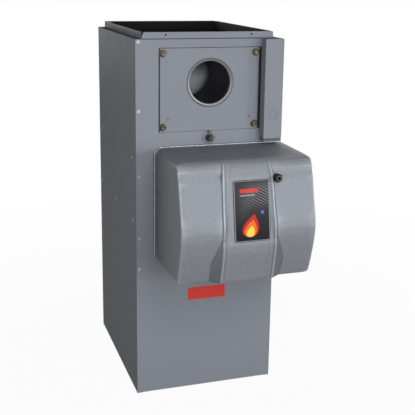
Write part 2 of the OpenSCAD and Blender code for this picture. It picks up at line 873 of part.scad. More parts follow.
// How far the middle column reaches forward, by the same height
function column_reach(h) = lookup(h, [
    [0, cover_reach - bottom_setback + column_proud - 5],
    [4, cover_reach - bottom_setback + column_proud],
    [chin_rise - 50, cover_reach - 1],
    [flat_low, flat_low_reach],
    [flat_high, flat_high_reach],
    [body_h - 24, cover_reach - 45],
    [body_h - 15, cover_reach - 51],
    [body_h - 7, cover_reach - top_setback + 11],
    [body_h, cover_reach - top_setback]]);

// How much nearer to the column's middle its edges run towards the top
function column_narrowing(h) = lookup(h, [[chin_rise, 0], [flat_high, 5], [body_h, 11]]);

cover_levels = [0, 1.5, 4, 8, 12, 30, chin_rise - 98, chin_rise - 74, chin_rise - 50, flat_low, chin_rise,
    chin_rise + 23, chin_rise + 51, body_h - 150, body_h - 123, body_h - 100, body_h - 77, body_h - 59,
    flat_high, body_h - 40, body_h - 24, body_h - 15, body_h - 7, body_h - 4, body_h - 2, body_h - 0.8,
    body_h];

// How far a round corner draws the side in, at a distance from the edge
function corner_inset(from_edge, r) = from_edge >= r ? 0 : r - sqrt(r * r - pow(r - from_edge, 2));

// Half of the cover's outline at one height, from the back to the middle, as [sideways, forward]
function half_outline(h, inset, start, rear_corner) =
    let (half = cover_half - inset - corner_inset(h, cover_foot_corner),
         middle_corner = rear_corner + (cover_top_corner - rear_corner) * side_straight / cover_reach,
         from_top = body_h - h,
         corner = half - side_taper - corner_inset(from_top, cover_top_corner),
         bulge = bulge_reach(h) - inset,
         column = column_reach(h) - inset,
         crest = max(column, bulge) + bead_foot,
         ridge = inset > 0 ? bead_foot : bead_h,
         edge = column_w / 2 - inset - column_narrowing(h),
         lean = 1 + max(0, column - bulge) * scallop_lean,
         r = cover_front_corner)
    concat(
        [[half - corner_inset(from_top, rear_corner), start],
         [half - corner_inset(from_top, middle_corner), side_straight - inset]],
        [for (a = [0 : 22.5 : 90]) [corner - r + r * cos(a), bulge - r + r * sin(a)]],
        [[edge + bead_w / 2 + lean, bulge],
         [edge + bead_w / 2, crest],
         [edge + bead_w / 4, crest + ridge],
         [edge - bead_w / 4, crest + ridge],
         [edge - bead_w / 2, crest],
         [edge - column_bevel, column]]);

// The cover's outer or inner skin as a closed form, drawn in by an inset
module cover_form(inset, start) {
    rings = [for (h = cover_levels)
        let (left = half_outline(h, inset, start, cover_left_corner),
             right = half_outline(h, inset, start, cover_right_corner),
             z = cover_z + inset + h * (body_h - 2 * inset) / body_h)
        concat([for (p = left) [cover_x - p[0], front - p[1], z]],
               [for (i = [len(right) - 1 : -1 : 0]) [cover_x + right[i][0], front - right[i][1], z]])];
    n = len(rings[0]);
    m = len(rings);
    hubs = [for (ring = [rings[0], rings[m - 1]]) [cover_x, front - cover_reach / 3, ring[0][2]]];
    points = concat([for (ring = rings) each ring], hubs);
    sides = [for (j = [0 : m - 2], i = [0 : n - 1])
        let (a = j * n + i, b = j * n + (i + 1) % n) each [[a, a + n, b], [b, a + n, b + n]]];
    ends = [for (i = [0 : n - 1])
        let (next = (i + 1) % n) each [[i, next, m * n], [(m - 1) * n + next, (m - 1) * n + i, m * n + 1]]];
    polyhedron(points, concat(sides, ends), convexity = 6);
}

// The points of a quarter round
function quarter(x, z, r, start) = [for (a = [start : 15 : start + 90]) [x + r * cos(a), z + r * sin(a)]];

// The rolled edge round the cover's back
module cover_rim() {
    half = cover_half + cover_lip;
    right_r = cover_right_corner + cover_lip;
    left_r = cover_left_corner + cover_lip;
    low_r = cover_foot_corner + cover_lip;
    translate([cover_x, front, cover_z]) rotate([90, 0, 0]) linear_extrude(cover_lip_depth)
        polygon(concat(quarter(half - right_r, cover_h - right_r, right_r, 0),
                       quarter(left_r - half, cover_h - left_r, left_r, 90),
                       quarter(low_r - half, low_r, low_r, 180),
                       quarter(half - low_r, low_r, low_r, 270)));
}

module burner_cover() {
    color("#9aa0a8") difference() {
        union() {
            cover_form(0, 0);
            cover_rim();
        }
        cover_form(cover_wall, -through);
        block([cover_x - vent_half, front - vent_front, cover_z - through],
              [cover_x + vent_half, front - vent_back, cover_z + 10]);
        bar_y(knob_x, knob_z, front - cover_reach - 20, front - cover_reach + 60, knob_shank_r + seat);
    }
}

// The label lies on the column's flat face and leans back with it
module label_plate() {
    tilt = atan2(flat_low_reach - flat_high_reach, flat_high - flat_low);
    color("#141418") translate([label_x, front - column_reach(label_z - cover_z), label_z])
        rotate([-tilt, 0, 0]) difference() {
            upright_plate(0, 0, label_w, label_h, -seat - label_t - 1, -seat, 8);
            upright_plate(0, 0, label_w - 2 * label_rim, label_h - 2 * label_rim,
                -seat - label_t - 2, -seat - label_t, 5);
        }
}

module cover_knob() {
    neck_end = front - bulge_reach(knob_z - cover_z) - knob_foot;
    head_back = neck_end - knob_neck;
    color("#151517") {
        bar_y(knob_x, knob_z, neck_end - 1, latch_y + 6, knob_shank_r);
        bar_y(knob_x, knob_z, neck_end - 3, neck_end, knob_r * 0.75);
        bar_y(knob_x, knob_z, head_back, neck_end, knob_r / 2);
        difference() {
            bar_y(knob_x, knob_z, head_back - knob_head, head_back, knob_r);
            for (i = [0 : knob_flutes - 1]) bar_y(
                knob_x + (knob_r + 1) * cos(i * 360 / knob_flutes),
                knob_z + (knob_r + 1) * sin(i * 360 / knob_flutes),
                head_back - knob_head - through, head_back - 3, 1.8);
        }
    }
}

module cover_hangers() {
    hook_z = cover_top - cover_lip - cover_wall - seat;
    color("gray") for (x = [cover_x - hanger_left, cover_x + hanger_right]) difference() {
        block([x - hanger_w / 2, front - hanger_w, hook_z - hanger_h], [x + hanger_w / 2, front, hook_z]);
        block([x - hanger_w, front - 2 * hanger_w, hook_z - 2 * hanger_h],
              [x + hanger_w, front - hanger_t, hook_z - hanger_t]);
    }
}

module latch_bracket() {
    base = control_z + latch_rise;
    color("gray") difference() {
        union() {
            block([knob_x - latch_w / 2, latch_y, base],
                  [knob_x + latch_w / 2, latch_y + latch_t, knob_z + 12]);
            block([knob_x - latch_w / 2, latch_y, base], [knob_x + latch_w / 2, fan_y + 20, base + latch_t]);
        }
        bar_y(knob_x, knob_z, latch_y - through, latch_y + through, knob_shank_r + seat);
    }
}

// Burner

module port_plate(y0, y1, hole_r) {
    difference() {
        upright_plate(burner_x, burner_z, port_plate_w, port_plate_w, y0, y1, 20);
        bar_y(burner_x, burner_z, y0 - through, y1 + through, hole_r);
        for (a = [45 : 90 : 315]) bar_y(burner_x + port_bolt_pcd / 2 * cos(a),
            burner_z + port_bolt_pcd / 2 * sin(a), y0 - through, y1 + through, bolt_hole_r);
    }
}

module burner_gasket() {
    color("#c9c4b4") port_plate(front - gasket_t, front, tube_r + 4);
}

module burner_flange() {
    color("#9b9ea3") port_plate(front - gasket_t - flange_t, front - gasket_t, tube_r + running);
}

module burner_bolts() {
    color("silver") for (a = [45 : 90 : 315]) {
        x = burner_x + port_bolt_pcd / 2 * cos(a);
        z = burner_z + port_bolt_pcd / 2 * sin(a);
        bar_y(x, z, flange_front - bolt_head_h, flange_front, bolt_head_r, 6);
        bar_y(x, z, flange_front, panel_back + port_ring_t, bolt_r);
    }
}

// The burner's scroll seen along the shaft, with its outlet towards the cabinet
module burner_scroll(w, inset) {
    rise = case_back - fan_y;
    translate([burner_x - w / 2, fan_y, fan_z]) rotate([90, 0, 90]) linear_extrude(w)
        mirror([1, -1, 0]) polygon(scroll_points(burner_scroll_start, burner_scroll_end, 100,
            rise, inset));
}

module burner_housing() {
    left = burner_x - burner_case_w / 2;
    color("#8d9197") difference() {
        union() {
            burner_scroll(burner_case_w, 0);
            bar_x(fan_y, fan_z, left - inlet_len, left, inlet_r);
        }
        translate([0, through, 0]) burner_scroll(burner_case_w - 2 * case_wall, case_wall);
        bar_x(fan_y, fan_z, left - inlet_len + 3, left + through, inlet_r - 3);
        bar_x(fan_y, fan_z, left - inlet_len - through, left, burner_shaft_r + 6);
        bar_x(fan_y, fan_z, motor_face_x - case_wall - through, motor_face_x + through, 32);
        for (i = [0 : 4]) translate([left - inlet_len / 2, fan_y, fan_z]) rotate([i * 72 + 20, 0, 0])
            block([-8, 0, -12], [8, inlet_r + through, 12]);
        bar_x(oil_port_y, burner_z, left - through, left + case_wall + through, oil_r + seat);
    }
}

module air_damper() {
    left = burner_x - burner_case_w / 2;
    r = inlet_r + running;
    color("#a7abb0") difference() {
        union() {
            bar_x(fan_y, fan_z, left - inlet_len + 2, left - 2, r + damper_t);
            translate([left - inlet_len / 2, fan_y, fan_z]) rotate([110, 0, 0])
                block([-4, r, -6], [4, r + 14, -4]);
        }
        bar_x(fan_y, fan_z, left - inlet_len - through, left + through, r);
        for (i = [0 : 4]) translate([left - inlet_len / 2, fan_y, fan_z]) rotate([i * 72 + 20, 0, 0])
            block([-8, 0, -12], [8, inlet_r + damper_t + 5, 12]);
    }
}

module burner_motor() {
    r = burner_motor_d / 2;
    x1 = motor_face_x + burner_motor_len;
    color("#26272b") difference() {
        union() {
            bar_x(fan_y, fan_z, motor_face_x, motor_face_x + 5, r + 3);
            translate([motor_face_x + 5, fan_y, fan_z]) rotate([0, 90, 0]) rotate_extrude() {
                square([r, burner_motor_len - 20]);
                square([r - 9, burner_motor_len - 8]);
            }
            bar_x(fan_y, fan_z, x1 - 4, x1, r - 30);
            for (a = [0 : 30 : 330]) translate([x1 - 12, fan_y, fan_z]) rotate([a, 0, 0])
                block([-70, r - 2, -2], [0, r + 2, 2]);
        }
        bar_x(fan_y, fan_z, motor_face_x - through, motor_face_x + 60, burner_shaft_r + running);
    }
}

module burner_shaft() {
    color("silver") bar_x(fan_y, fan_z, motor_face_x - 60, motor_face_x + 59, burner_shaft_r);
}

module burner_fan() {
    w = 50;
    color("#6f7378") translate([burner_x + burner_case_w / 2 - case_wall - 6 - w, fan_y, fan_z])
        rotate([0, 90, 0]) blade_wheel(fan_r - 14, fan_r, w, burner_blades, 1.2, w - 3, 13, 16,
            burner_shaft_r + running);
}

module shaft_coupling() {
    left = burner_x - burner_case_w / 2;
    color("#d9d6cc") difference() {
        bar_x(fan_y, fan_z, left - inlet_len + 4, motor_face_x - 46, burner_shaft_r + 4);
        bar_x(fan_y, fan_z, motor_face_x - 61, motor_face_x, burner_shaft_r + running);
        bar_x(fan_y, fan_z, left - inlet_len, left - inlet_len + 20, 4 + running);
    }
}

module fuel_pump() {
    left = burner_x - burner_case_w / 2 - inlet_len;
    color("#b4a06a") {
        bar_x(fan_y, fan_z, left - 5, left, pump_r + 6);
        bar_x(fan_y, fan_z, left - pump_len, left - 5, pump_r);
        bar_x(fan_y, fan_z, left - pump_len - 6, left - pump_len, pump_r - 8);
        bar_x(fan_y, fan_z, left - 5, left + 18, 4);
        bar_z(left - 40, fan_y, fan_z - pump_r - 12, fan_z, 8);
        bar_y(left - 25, fan_z, fan_y - pump_r - 14, fan_y, 9);
        bar_z(left - 20, fan_y, fan_z, burner_z + 7, 7);
        bar_y(left - 20, burner_z, fan_y, fan_y + 14, 5);
    }
}

// The copper line from the pump back along the housing and in to the nozzle pipe
module oil_line() {
    x = burner_x - burner_case_w / 2 - inlet_len - 20;
    bend = 15;
    color("#b06a3c") {
        bar_y(x, burner_z, fan_y + 14, oil_port_y - bend, oil_r);
        translate([x + bend, oil_port_y - bend, burner_z]) rotate([0, 0, 90])
            rotate_extrude(angle = 90) translate([bend, 0]) circle(r = oil_r);
        bar_x(oil_port_y, burner_z, x + bend, burner_x - burner_case_w / 2 + case_wall, oil_r);
    }
}

module air_tube() {
    color("#8d9197") tube_y(burner_x, burner_z, flange_front, tube_end, tube_r, tube_r - tube_wall);
}

module nozzle_pipe() {
    color("#b39a52") {
        bar_y(burner_x, burner_z, oil_port_y - 8, tube_end - 30, 5);
        bar_x(oil_port_y, burner_z, burner_x - burner_case_w / 2 + case_wall, burner_x, 5);
        block([burner_x - 13, tube_end - 52, burner_z],
              [burner_x + 13, tube_end - 44, burner_z + electrode_rise - electrode_r - seat]);
        bar_y(burner_x, burner_z, tube_end - 30, tube_end - 12, 8, 6);
        bar_y(burner_x, burner_z, tube_end - 12, tube_end - 6, 4);
        difference() {
            bar_y(burner_x, burner_z, tube_end - 70, tube_end - 66, tube_r - tube_wall - seat);
            for (a = [0 : 60 : 300]) bar_y(burner_x + 32 * cos(a), burner_z + 32 * sin(a),
                tube_end - 80, tube_end - 60, 13);
        }
    }
}

module electrodes() {
    color("#ece6da") for (x = [-9, 9]) {
        bar_y(burner_x + x, burner_z + electrode_rise, tube_end - 64, tube_end - 24, electrode_r);
        bar_y(burner_x + x, burner_z + electrode_rise, tube_end - 24, tube_end - 8, 1.2);
    }
}

module flame_head() {
    r = tube_r - tube_wall - seat;
    color("#6b6e72") difference() {
        bar_y(burner_x, burner_z, tube_end - 4, tube_end - 1, r);
        bar_y(burner_x, burner_z, tube_end - 10, tube_end + 10, 18);
        for (a = [0 : 45 : 315]) translate([burner_x, tube_end, burner_z]) rotate([0, a, 0])
            block([24, -10, -1.5], [r - 8, 10, 1.5]);
    }
}

module ignition_transformer() {
    base = fan_z + burner_scroll_end + seat;
    top = base + igniter_h;
    color("#1f2023") {
        block([burner_x - igniter_w / 2, fan_y - igniter_front, base],
              [burner_x + igniter_w / 2, fan_y + igniter_back, top]);
        for (x = [-18, 18]) bar_z(burner_x + x, fan_y + 20, top, top + bushing_h, 8);
    }
}

module primary_control() {
    x = motor_face_x + 8;
    color("#c9cbc9") difference() {
        union() {
            block([x, fan_y - control_front, control_z - 12],
                  [x + control_w, fan_y + control_back, control_z + control_base_h]);
            block([x + 4, control_face, control_z + control_base_h],
                  [x + control_w - 4, fan_y + control_back - 6, control_z + latch_rise]);
        }
        bar_y(button_x, button_z, control_face - through, control_face + 9, button_r + running);
    }
}

module reset_button() {
    color("#b3201a") bar_y(button_x, button_z, control_face - 8, control_face + 5, button_r);
}

// Blower

module scroll_solid(x0, x1, inset, rise) {
    translate([x0, shaft_y, shaft_z]) rotate([90, 0, 90]) linear_extrude(x1 - x0)
        polygon(scroll_points(scroll_start, scroll_end, scroll_cut, rise, inset));
}

module blower_housing() {
    rise = housing_top - shaft_z;
    half = housing_w / 2;
    flange_z = housing_top - 8;
    outlet_y = shaft_y + scroll_start * cos(scroll_cut);
    color("#85898f") difference() {
        union() {
            scroll_solid(-half, half, 0, rise);
            for (x = [-half - 18, half])
                block([x, outlet_y, flange_z], [x + 18, shaft_y + scroll_end, flange_z + 1.5]);
            for (x = [-half - 3, half]) bar_x(shaft_y, shaft_z, x, x + 3, inlet_hole_r + 6);
        }
        translate([0, 0, through]) scroll_solid(-half + housing_t, half - housing_t, housing_t, rise);
        scroll_solid(-half + housing_t, half - housing_t, housing_t, rise);
        bar_x(shaft_y, shaft_z, -half - 10, half + 10, inlet_hole_r);
    }
}

module blower_wheel() {
    color("#6f7378") translate([-wheel_w / 2, shaft_y, shaft_z]) rotate([0, 90, 0])
        blade_wheel(wheel_in_r, wheel_r, wheel_w, wheel_blades, 1.4, wheel_w / 2 - 25, 18, 30,
            shaft_d / 2 + running);
}

module blower_shaft() {
    color("silver") bar_x(shaft_y, shaft_z, -45, motor_x + 70, shaft_d / 2);
}

module blower_motor() {
    r = motor_d / 2;
    color("#2b2c30") difference() {
        union() {
            bar_x(shaft_y, shaft_z, motor_x + 8, motor_x + motor_len - 8, r);
            bar_x(shaft_y, shaft_z, motor_x, motor_x + motor_len, r - 10);
        }
        bar_x(shaft_y, shaft_z, motor_x - through, motor_x + 71, shaft_d / 2 + running);
    }
}

module motor_bracket() {
    x0 = housing_w / 2 + 3;
    r = motor_d / 2 + seat;
    color("gray") difference() {
        union() {
            bar_x(shaft_y, shaft_z, x0, x0 + band_w, r + band_t);
            for (a = [30, 150, 270]) translate([x0, shaft_y, shaft_z]) rotate([a, 0, 0])
                block([0, r + 1, -band_w / 2], [arm_t, inlet_hole_r + 5, band_w / 2]);
        }
        bar_x(shaft_y, shaft_z, x0 - through, x0 + band_w + through, r);
    }
}

module blower_rails() {
    half = housing_w / 2;
    web = half + 18 + 2;
    low = housing_top - 8 - seat - rail_t;
    color("gray") for (side = [0, 1]) mirror([side, 0, 0]) {
        block([web, fold_back + 20, low], [web + rail_t, rear_fold - 20, deck_z]);
        block([half + 4, fold_back + 20, low], [web, rear_fold - 20, low + rail_t]);
        block([web, fold_back + 20, deck_z - rail_t], [web + 22, rear_fold - 20, deck_z]);
    }
}

// Controls in the blower compartment

module control_box() {
    color("#9b9ea3") difference() {
        block([box_x, box_y, box_z], [box_x + box_depth, box_y + box_len, box_z + box_h]);
        block([box_x + box_wall, box_y + box_wall, box_z + box_wall],
              [box_x + box_depth + through, box_y + box_len - box_wall, box_z + box_h - box_wall]);
    }
    color("#2f6b3c") block([box_x + box_wall, box_y + board_margin, box_z + board_margin],
        [box_x + box_wall + board_block, box_y + box_len - board_margin, box_z + box_h - board_margin]);
    color("#202022") for (i = [0 : relays - 1])
        block([box_x + box_wall + board_block, box_y + 30 + i * relay_pitch, box_z + box_h - 60],
              [box_x + box_wall + board_block + 17, box_y + 52 + i * relay_pitch, box_z + box_h - 38]);
}

module control_transformer() {
    y = box_y - 80;
    color("#34302c") {
        block([box_x, y, box_z + 40], [box_x + 40, y + 60, box_z + 90]);
        block([box_x + 6, y + 10, box_z + 30], [box_x + 34, y + 50, box_z + 100]);
    }
}

module door_switch() {
    y0 = panel_back + door_fold + 12;
    color("#d8d4c8") difference() {
        block([switch_x - 8, y0, switch_z - 10], [switch_x + 8, y0 + switch_depth, deck_z]);
        bar_y(switch_x, switch_z, y0 - through, y0 + 12, plunger_r + running);
    }
}

module switch_plunger() {
    y0 = panel_back + door_fold + 12;
    color("#151517") bar_y(switch_x, switch_z, panel_back + seat, y0 + 6, plunger_r);
}

base_pan();
left_side_panel();
right_side_panel();
back_panel();
front_panel();
top_frame();
collar_lining();
casing_screws();
blower_deck();
liner_boards();
combustion_drum();
chamber_liner();
crossover_pipes();
radiator();
radiator_baffle();
flue_pipe();
plate_frame();
plate_gasket();
flue_access_plate();
flue_collar();
plate_nuts();
sight_tube();
sight_cap();
wiring_channel();
limit_switch();
blower_door();
badge_plate();
burner_cover();
label_plate();
cover_knob();
cover_hangers();
latch_bracket();
burner_gasket();
burner_flange();
burner_bolts();
burner_housing();
air_damper();
burner_motor();
burner_shaft();
burner_fan();
shaft_coupling();
fuel_pump();
oil_line();
air_tube();
nozzle_pipe();
electrodes();
flame_head();
ignition_transformer();
primary_control();
reset_button();
blower_housing();
blower_wheel();
blower_shaft();
blower_motor();
motor_bracket();
blower_rails();
control_box();
control_transformer();
door_switch();
switch_plunger();
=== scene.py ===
# The finished look of a highboy oil furnace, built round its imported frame.
# Metres, +Z up, the front faces -Y.
import json
import math

import bmesh
import bpy
from mathutils import Matrix, Vector


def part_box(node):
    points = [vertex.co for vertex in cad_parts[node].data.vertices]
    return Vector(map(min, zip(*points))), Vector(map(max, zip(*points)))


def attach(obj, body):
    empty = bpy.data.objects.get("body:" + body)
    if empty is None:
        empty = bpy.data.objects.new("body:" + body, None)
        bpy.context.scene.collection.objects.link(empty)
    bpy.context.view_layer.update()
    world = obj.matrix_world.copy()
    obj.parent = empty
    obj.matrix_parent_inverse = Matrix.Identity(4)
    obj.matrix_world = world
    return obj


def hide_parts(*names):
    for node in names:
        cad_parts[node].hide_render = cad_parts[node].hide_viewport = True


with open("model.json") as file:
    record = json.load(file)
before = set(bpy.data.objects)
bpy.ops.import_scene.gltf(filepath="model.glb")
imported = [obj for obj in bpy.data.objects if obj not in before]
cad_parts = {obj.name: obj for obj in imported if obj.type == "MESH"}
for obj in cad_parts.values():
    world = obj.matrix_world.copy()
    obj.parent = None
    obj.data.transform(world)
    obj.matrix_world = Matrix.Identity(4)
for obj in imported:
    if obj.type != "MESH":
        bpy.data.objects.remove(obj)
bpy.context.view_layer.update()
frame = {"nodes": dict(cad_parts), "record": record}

MM = 0.001
NEAR = 0.0002          # how close a point lies to count as on a line
SAME = 0.00001         # how close two points lie to count as one
SHEET_SMOOTH = 18      # degrees up to which the edges of sheets and strips are shaded smooth
TURN = 2 * math.pi
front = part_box("front_panel")[0].y
seal_and_shadow_seat = 0.05 * MM  # gap at which seals and black strips of painted shadow lie on a sheet
seal_and_shadow_edge = 0.2 * MM   # radius of the edges of seals and of black strips of painted shadow


# Camera

camera_place = Vector((-0.83895, -2.84942, 1.42437))
camera_azimuth = -18.26    # degrees, like the tilt below the horizon and the roll
camera_tilt = 13.80
camera_roll = 0.83
image_px = 415
focal_px = 822.84
axis_above_centre_px = 32.5


def place_camera():
    bpy.ops.object.camera_add()
    camera = bpy.context.object
    turn = (Matrix.Rotation(math.radians(camera_azimuth), 4, "Z")
            @ Matrix.Rotation(math.radians(90 - camera_tilt), 4, "X")
            @ Matrix.Rotation(math.radians(camera_roll), 4, "Z"))
    camera.matrix_world = Matrix.Translation(camera_place) @ turn
    camera.data.lens = focal_px / image_px * camera.data.sensor_width
    camera.data.shift_y = -axis_above_centre_px / image_px
    camera.data.clip_end = 50
    bpy.context.scene.camera = camera


place_camera()


# Shader values and finishes

def tone(red, green, blue):
    """A colour given as it looks on a screen, 0 to 255, as the shader's linear one."""
    def linear(c):
        c = c / 255
        return c / 12.92 if c <= 0.04045 else ((c + 0.055) / 1.055) ** 2.4
    return (linear(red), linear(green), linear(blue), 1.0)


class Value:
    """A number or a colour on a material's socket, with the sums that the finishes use."""

    def __init__(self, finish, socket):
        self.finish = finish
        self.socket = socket

    def sum(self, operation, *others):
        return self.finish.node("ShaderNodeMath", {"operation": operation},
                                dict(enumerate((self,) + others)))

    def __add__(self, other):
        return self.sum("ADD", other)

    def __sub__(self, other):
        return self.sum("SUBTRACT", other)

    def __rsub__(self, other):
        return self.finish.number(other).sum("SUBTRACT", self)

    def __mul__(self, other):
        return self.sum("MULTIPLY", other)

    def __truediv__(self, other):
        return self.sum("DIVIDE", other)

    def __abs__(self):
        return self.sum("ABSOLUTE")

    __radd__ = __add__
    __rmul__ = __mul__

    def above(self, edge, soft):
        """1 above an edge and 0 below it, with a soft step."""
        return self.finish.fade(self, edge - soft, edge + soft)

    def below(self, edge, soft):
        return self.finish.fade(self, edge + soft, edge - soft)


class Finish:
    """A procedural material on object coordinates."""

    def __init__(self, name, colour, roughness, metallic=0.0, coat=0.0, specular=0.5, **steady):
        self.material = bpy.data.materials.new(name)
        self.material.use_nodes = True
        self.tree = self.material.node_tree
        self.shader = self.tree.nodes["Principled BSDF"]
        self.colour = colour
        settings = {"Base Color": colour, "Roughness": roughness, "Metallic": metallic,
                    "Coat Weight": coat, "Specular IOR Level": specular}
        for name, value in {**settings, **steady}.items():
            self.shader.inputs[name].default_value = value

    def node(self, kind, settings=None, sockets=None, output=0):
        made = self.tree.nodes.new(kind)
        for name, value in (settings or {}).items():
            setattr(made, name, value)
        for name, value in (sockets or {}).items():
            self.plug(made.inputs[name], value)
        return Value(self, made.outputs[output])

    def plug(self, socket, value):
        if isinstance(value, Value):
            self.tree.links.new(value.socket, socket)
        else:
            socket.default_value = value

    def number(self, value):
        return self.node("ShaderNodeMath", {"operation": "ADD"}, {0: value, 1: 0.0})

    def place(self, centre=(0, 0, 0), turn=(0, 0, 0), stretch=(1, 1, 1)):
        """Object coordinates seen from a centre, turned and stretched."""
        point = self.node("ShaderNodeTexCoord", output="Object")
        if centre == (0, 0, 0) and turn == (0, 0, 0) and stretch == (1, 1, 1):
            return point
        return self.node("ShaderNodeMapping", {"vector_type": "TEXTURE"},
                         {"Vector": point, "Location": centre, "Rotation": turn, "Scale": stretch})

    def axes(self, point):
        split = self.node("ShaderNodeSeparateXYZ", sockets={"Vector": point})
        outputs = split.socket.node.outputs
        return [Value(self, outputs[axis]) for axis in "XYZ"]

    def noise(self, size, detail=2.0, point=None, rough=0.5):
        """Smooth noise from 0 to 1 whose lumps are about this size in metres."""
        return self.node("ShaderNodeTexNoise", sockets={
            "Vector": point or self.place(), "Scale": 1 / size, "Detail": detail,
            "Roughness": rough})

    def cells(self, size):
        """A number from 0 to 1, the same all over each cell of about this size in metres."""
        cell = self.node("ShaderNodeTexVoronoi", sockets={
            "Vector": self.place(), "Scale": 1 / size}, output="Color")
        return self.axes(cell)[0]

    def fade(self, value, start, end):
        """0 at start and 1 at end, with a straight ramp between."""
        return self.node("ShaderNodeMapRange", {"clamp": True}, {
            "Value": value, "From Min": start, "From Max": end, "To Min": 0.0, "To Max": 1.0})

    def blend(self, share, first, second):
        return self.node("ShaderNodeMix", {"data_type": "RGBA"},
                         {0: share, 6: first, 7: second}, output=2)

    def shade(self, share):
        """The finish's colour made lighter or darker by a factor near 1."""
        return self.node("ShaderNodeVectorMath", {"operation": "SCALE"},
                         {0: self.colour[:3], "Scale": share})

    def dress(self, bump=None, strength=0.1, depth=0.0005, **sockets):
        """Plugs values into the shader's sockets, with a bump of a depth in metres."""
        for name, value in sockets.items():
            self.plug(self.shader.inputs[name.replace("_", " ")], value)
        if bump is not None:
            relief = self.node("ShaderNodeBump", sockets={
                "Height": bump, "Strength": strength, "Distance": depth}, output="Normal")
            self.plug(self.shader.inputs["Normal"], relief)
        return self.material


def sprayed(name, colour, roughness=0.45, mottle=0.03, peel=0.05, specular=0.2):
    """Baked enamel on sheet metal, with a faint orange peel."""
    finish = Finish(name, colour, roughness, specular=specular)
    broad = finish.noise(0.30)
    fine = finish.noise(0.012, 3.0)
    dust = finish.noise(0.0016, 2.0)
    share = 1 + mottle * (broad - 0.5) + mottle * 0.8 * (fine - 0.5) + mottle * 1.4 * (dust - 0.5)
    return finish.dress(Base_Color=finish.shade(share), Roughness=roughness + 0.10 * (fine - 0.5),
                        bump=finish.noise(0.0022, 2.0), strength=peel)


def flaked(name, colour, roughness=0.55, metallic=0.4):
    """Metallic flake lacquer on a moulded cover, with painted light: a painted highlight on its
    sharp edges, which are also glossier, painted shade in its creases, and painted shade where the
    surface doesn't face forwards."""
    finish = Finish(name, colour, roughness, metallic=metallic, coat=0.06, specular=0.15,
                    **{"Coat Roughness": 0.28, "Coat IOR": 1.45})
    flake = finish.cells(0.0026)
    broad = finish.noise(0.20)
    grain = finish.noise(0.004, 3.0)
    bend = finish.node("ShaderNodeNewGeometry", output="Pointiness")
    # Pointiness masks: a painted highlight on sharp edges and painted shade in creases.
    painted_edge_highlight, painted_crease_shade = bend.above(0.517, 0.009), bend.below(0.46, 0.03)
    # Painted shade on faces that turn away from the front, darker the further they turn.
    facing = finish.axes(finish.node("ShaderNodeTexCoord", output="Normal"))[1]
    painted_facing_shade = finish.fade(facing, -0.25, -0.75)
    share = (0.86 + 0.28 * flake + 0.12 * (grain - 0.5) + 0.05 * (broad - 0.5)) * (
        1 + 0.40 * painted_edge_highlight) * (1 - 0.50 * painted_crease_shade) * (0.70 + 0.30 * painted_facing_shade)
    return finish.dress(Base_Color=finish.shade(share),
                        Roughness=roughness + 0.16 * (flake - 0.5) - 0.15 * painted_edge_highlight,
                        Metallic=metallic + 0.20 * (flake - 0.5),
                        bump=finish.noise(0.0012, 2.0), strength=0.08)


def plated(name, colour, roughness=0.32, brushed=(1, 1, 1), spangle=0.0, metallic=0.9):
    """Bright metal: brushed along one axis, or with a zinc spangle."""
    finish = Finish(name, colour, roughness, metallic=metallic)
    streaks = finish.noise(0.0008, 3.0, finish.place(stretch=brushed))
    broad = finish.noise(0.05, 3.0)
    share = 1 + 0.16 * (streaks - 0.5) + 0.14 * (broad - 0.5)
    rough = roughness + 0.14 * (streaks - 0.5) + 0.10 * (broad - 0.5)
    if spangle:
        crystal = finish.cells(0.011)
        share = share + spangle * (crystal - 0.5)
        rough = rough + 0.8 * spangle * (crystal - 0.5)
    return finish.dress(Base_Color=finish.shade(share), Roughness=rough, bump=streaks,
                        strength=0.04)


def moulded(name, colour, roughness=0.4, grain=0.0012, specular=0.45):
    """Plastic or rubber with a fine moulded grain."""
    finish = Finish(name, colour, roughness, specular=specular)
    texture = finish.noise(grain, 3.0)
    broad = finish.noise(0.02, 2.0)
    share = 1 + 0.10 * (texture - 0.5) + 0.10 * (broad - 0.5)
    return finish.dress(Base_Color=finish.shade(share),
                        Roughness=roughness + 0.15 * (texture - 0.5), bump=texture, strength=0.12)


def sooted(name, colour, soot_line):
    """Bright sheet in the flue gas, dark with soot above a height."""
    finish = Finish(name, colour, 0.55, metallic=0.5)
    height = finish.axes(finish.place())[2]
    blotch = finish.noise(0.03, 4.0, rough=0.6)
    soot = (height + 0.04 * (blotch - 0.5)).above(soot_line, 0.03)
    shade = finish.blend(soot, finish.shade(1 + 0.3 * (blotch - 0.5)), tone(26, 25, 25))
    return finish.dress(Base_Color=shade, Roughness=0.5 + 0.3 * soot,
                        bump=finish.noise(0.004, 3.0))


def dotted_screws(name):
    """Zinc screws on the casing, and painted ones in the access plate."""
    finish = Finish(name, tone(158, 161, 166), 0.4, metallic=0.6)
    x, _, z = finish.axes(finish.place())
    plate = abs(x - 0.003).below(0.2, 0.001) * z.above(0.9, 0.001) * z.below(1.2, 0.001)
    wear = finish.noise(0.002, 3.0)
    colour = finish.blend(plate, finish.shade(0.9 + 0.2 * wear), tone(104, 108, 115))
    return finish.dress(Base_Color=colour, Roughness=0.36 + 0.2 * wear, bump=wear, strength=0.08)


def rough_cast(name, colour, roughness=0.7, lump=0.004, metallic=0.0, stain=None):
    """Cast, fibrous or heat-darkened surfaces."""
    finish = Finish(name, colour, roughness, metallic=metallic, specular=0.3)
    lumps = finish.noise(lump, 4.0, rough=0.62)
    broad = finish.noise(0.06, 4.0, rough=0.6)
    shade = finish.shade(1 + 0.35 * (lumps - 0.5) + 0.30 * (broad - 0.5))
    if stain:
        shade = finish.blend(broad.above(0.56, 0.08) * 0.6, shade, stain)
    return finish.dress(Base_Color=shade, Roughness=roughness + 0.2 * (lumps - 0.5), bump=lumps,
                        strength=0.35, depth=0.0008)


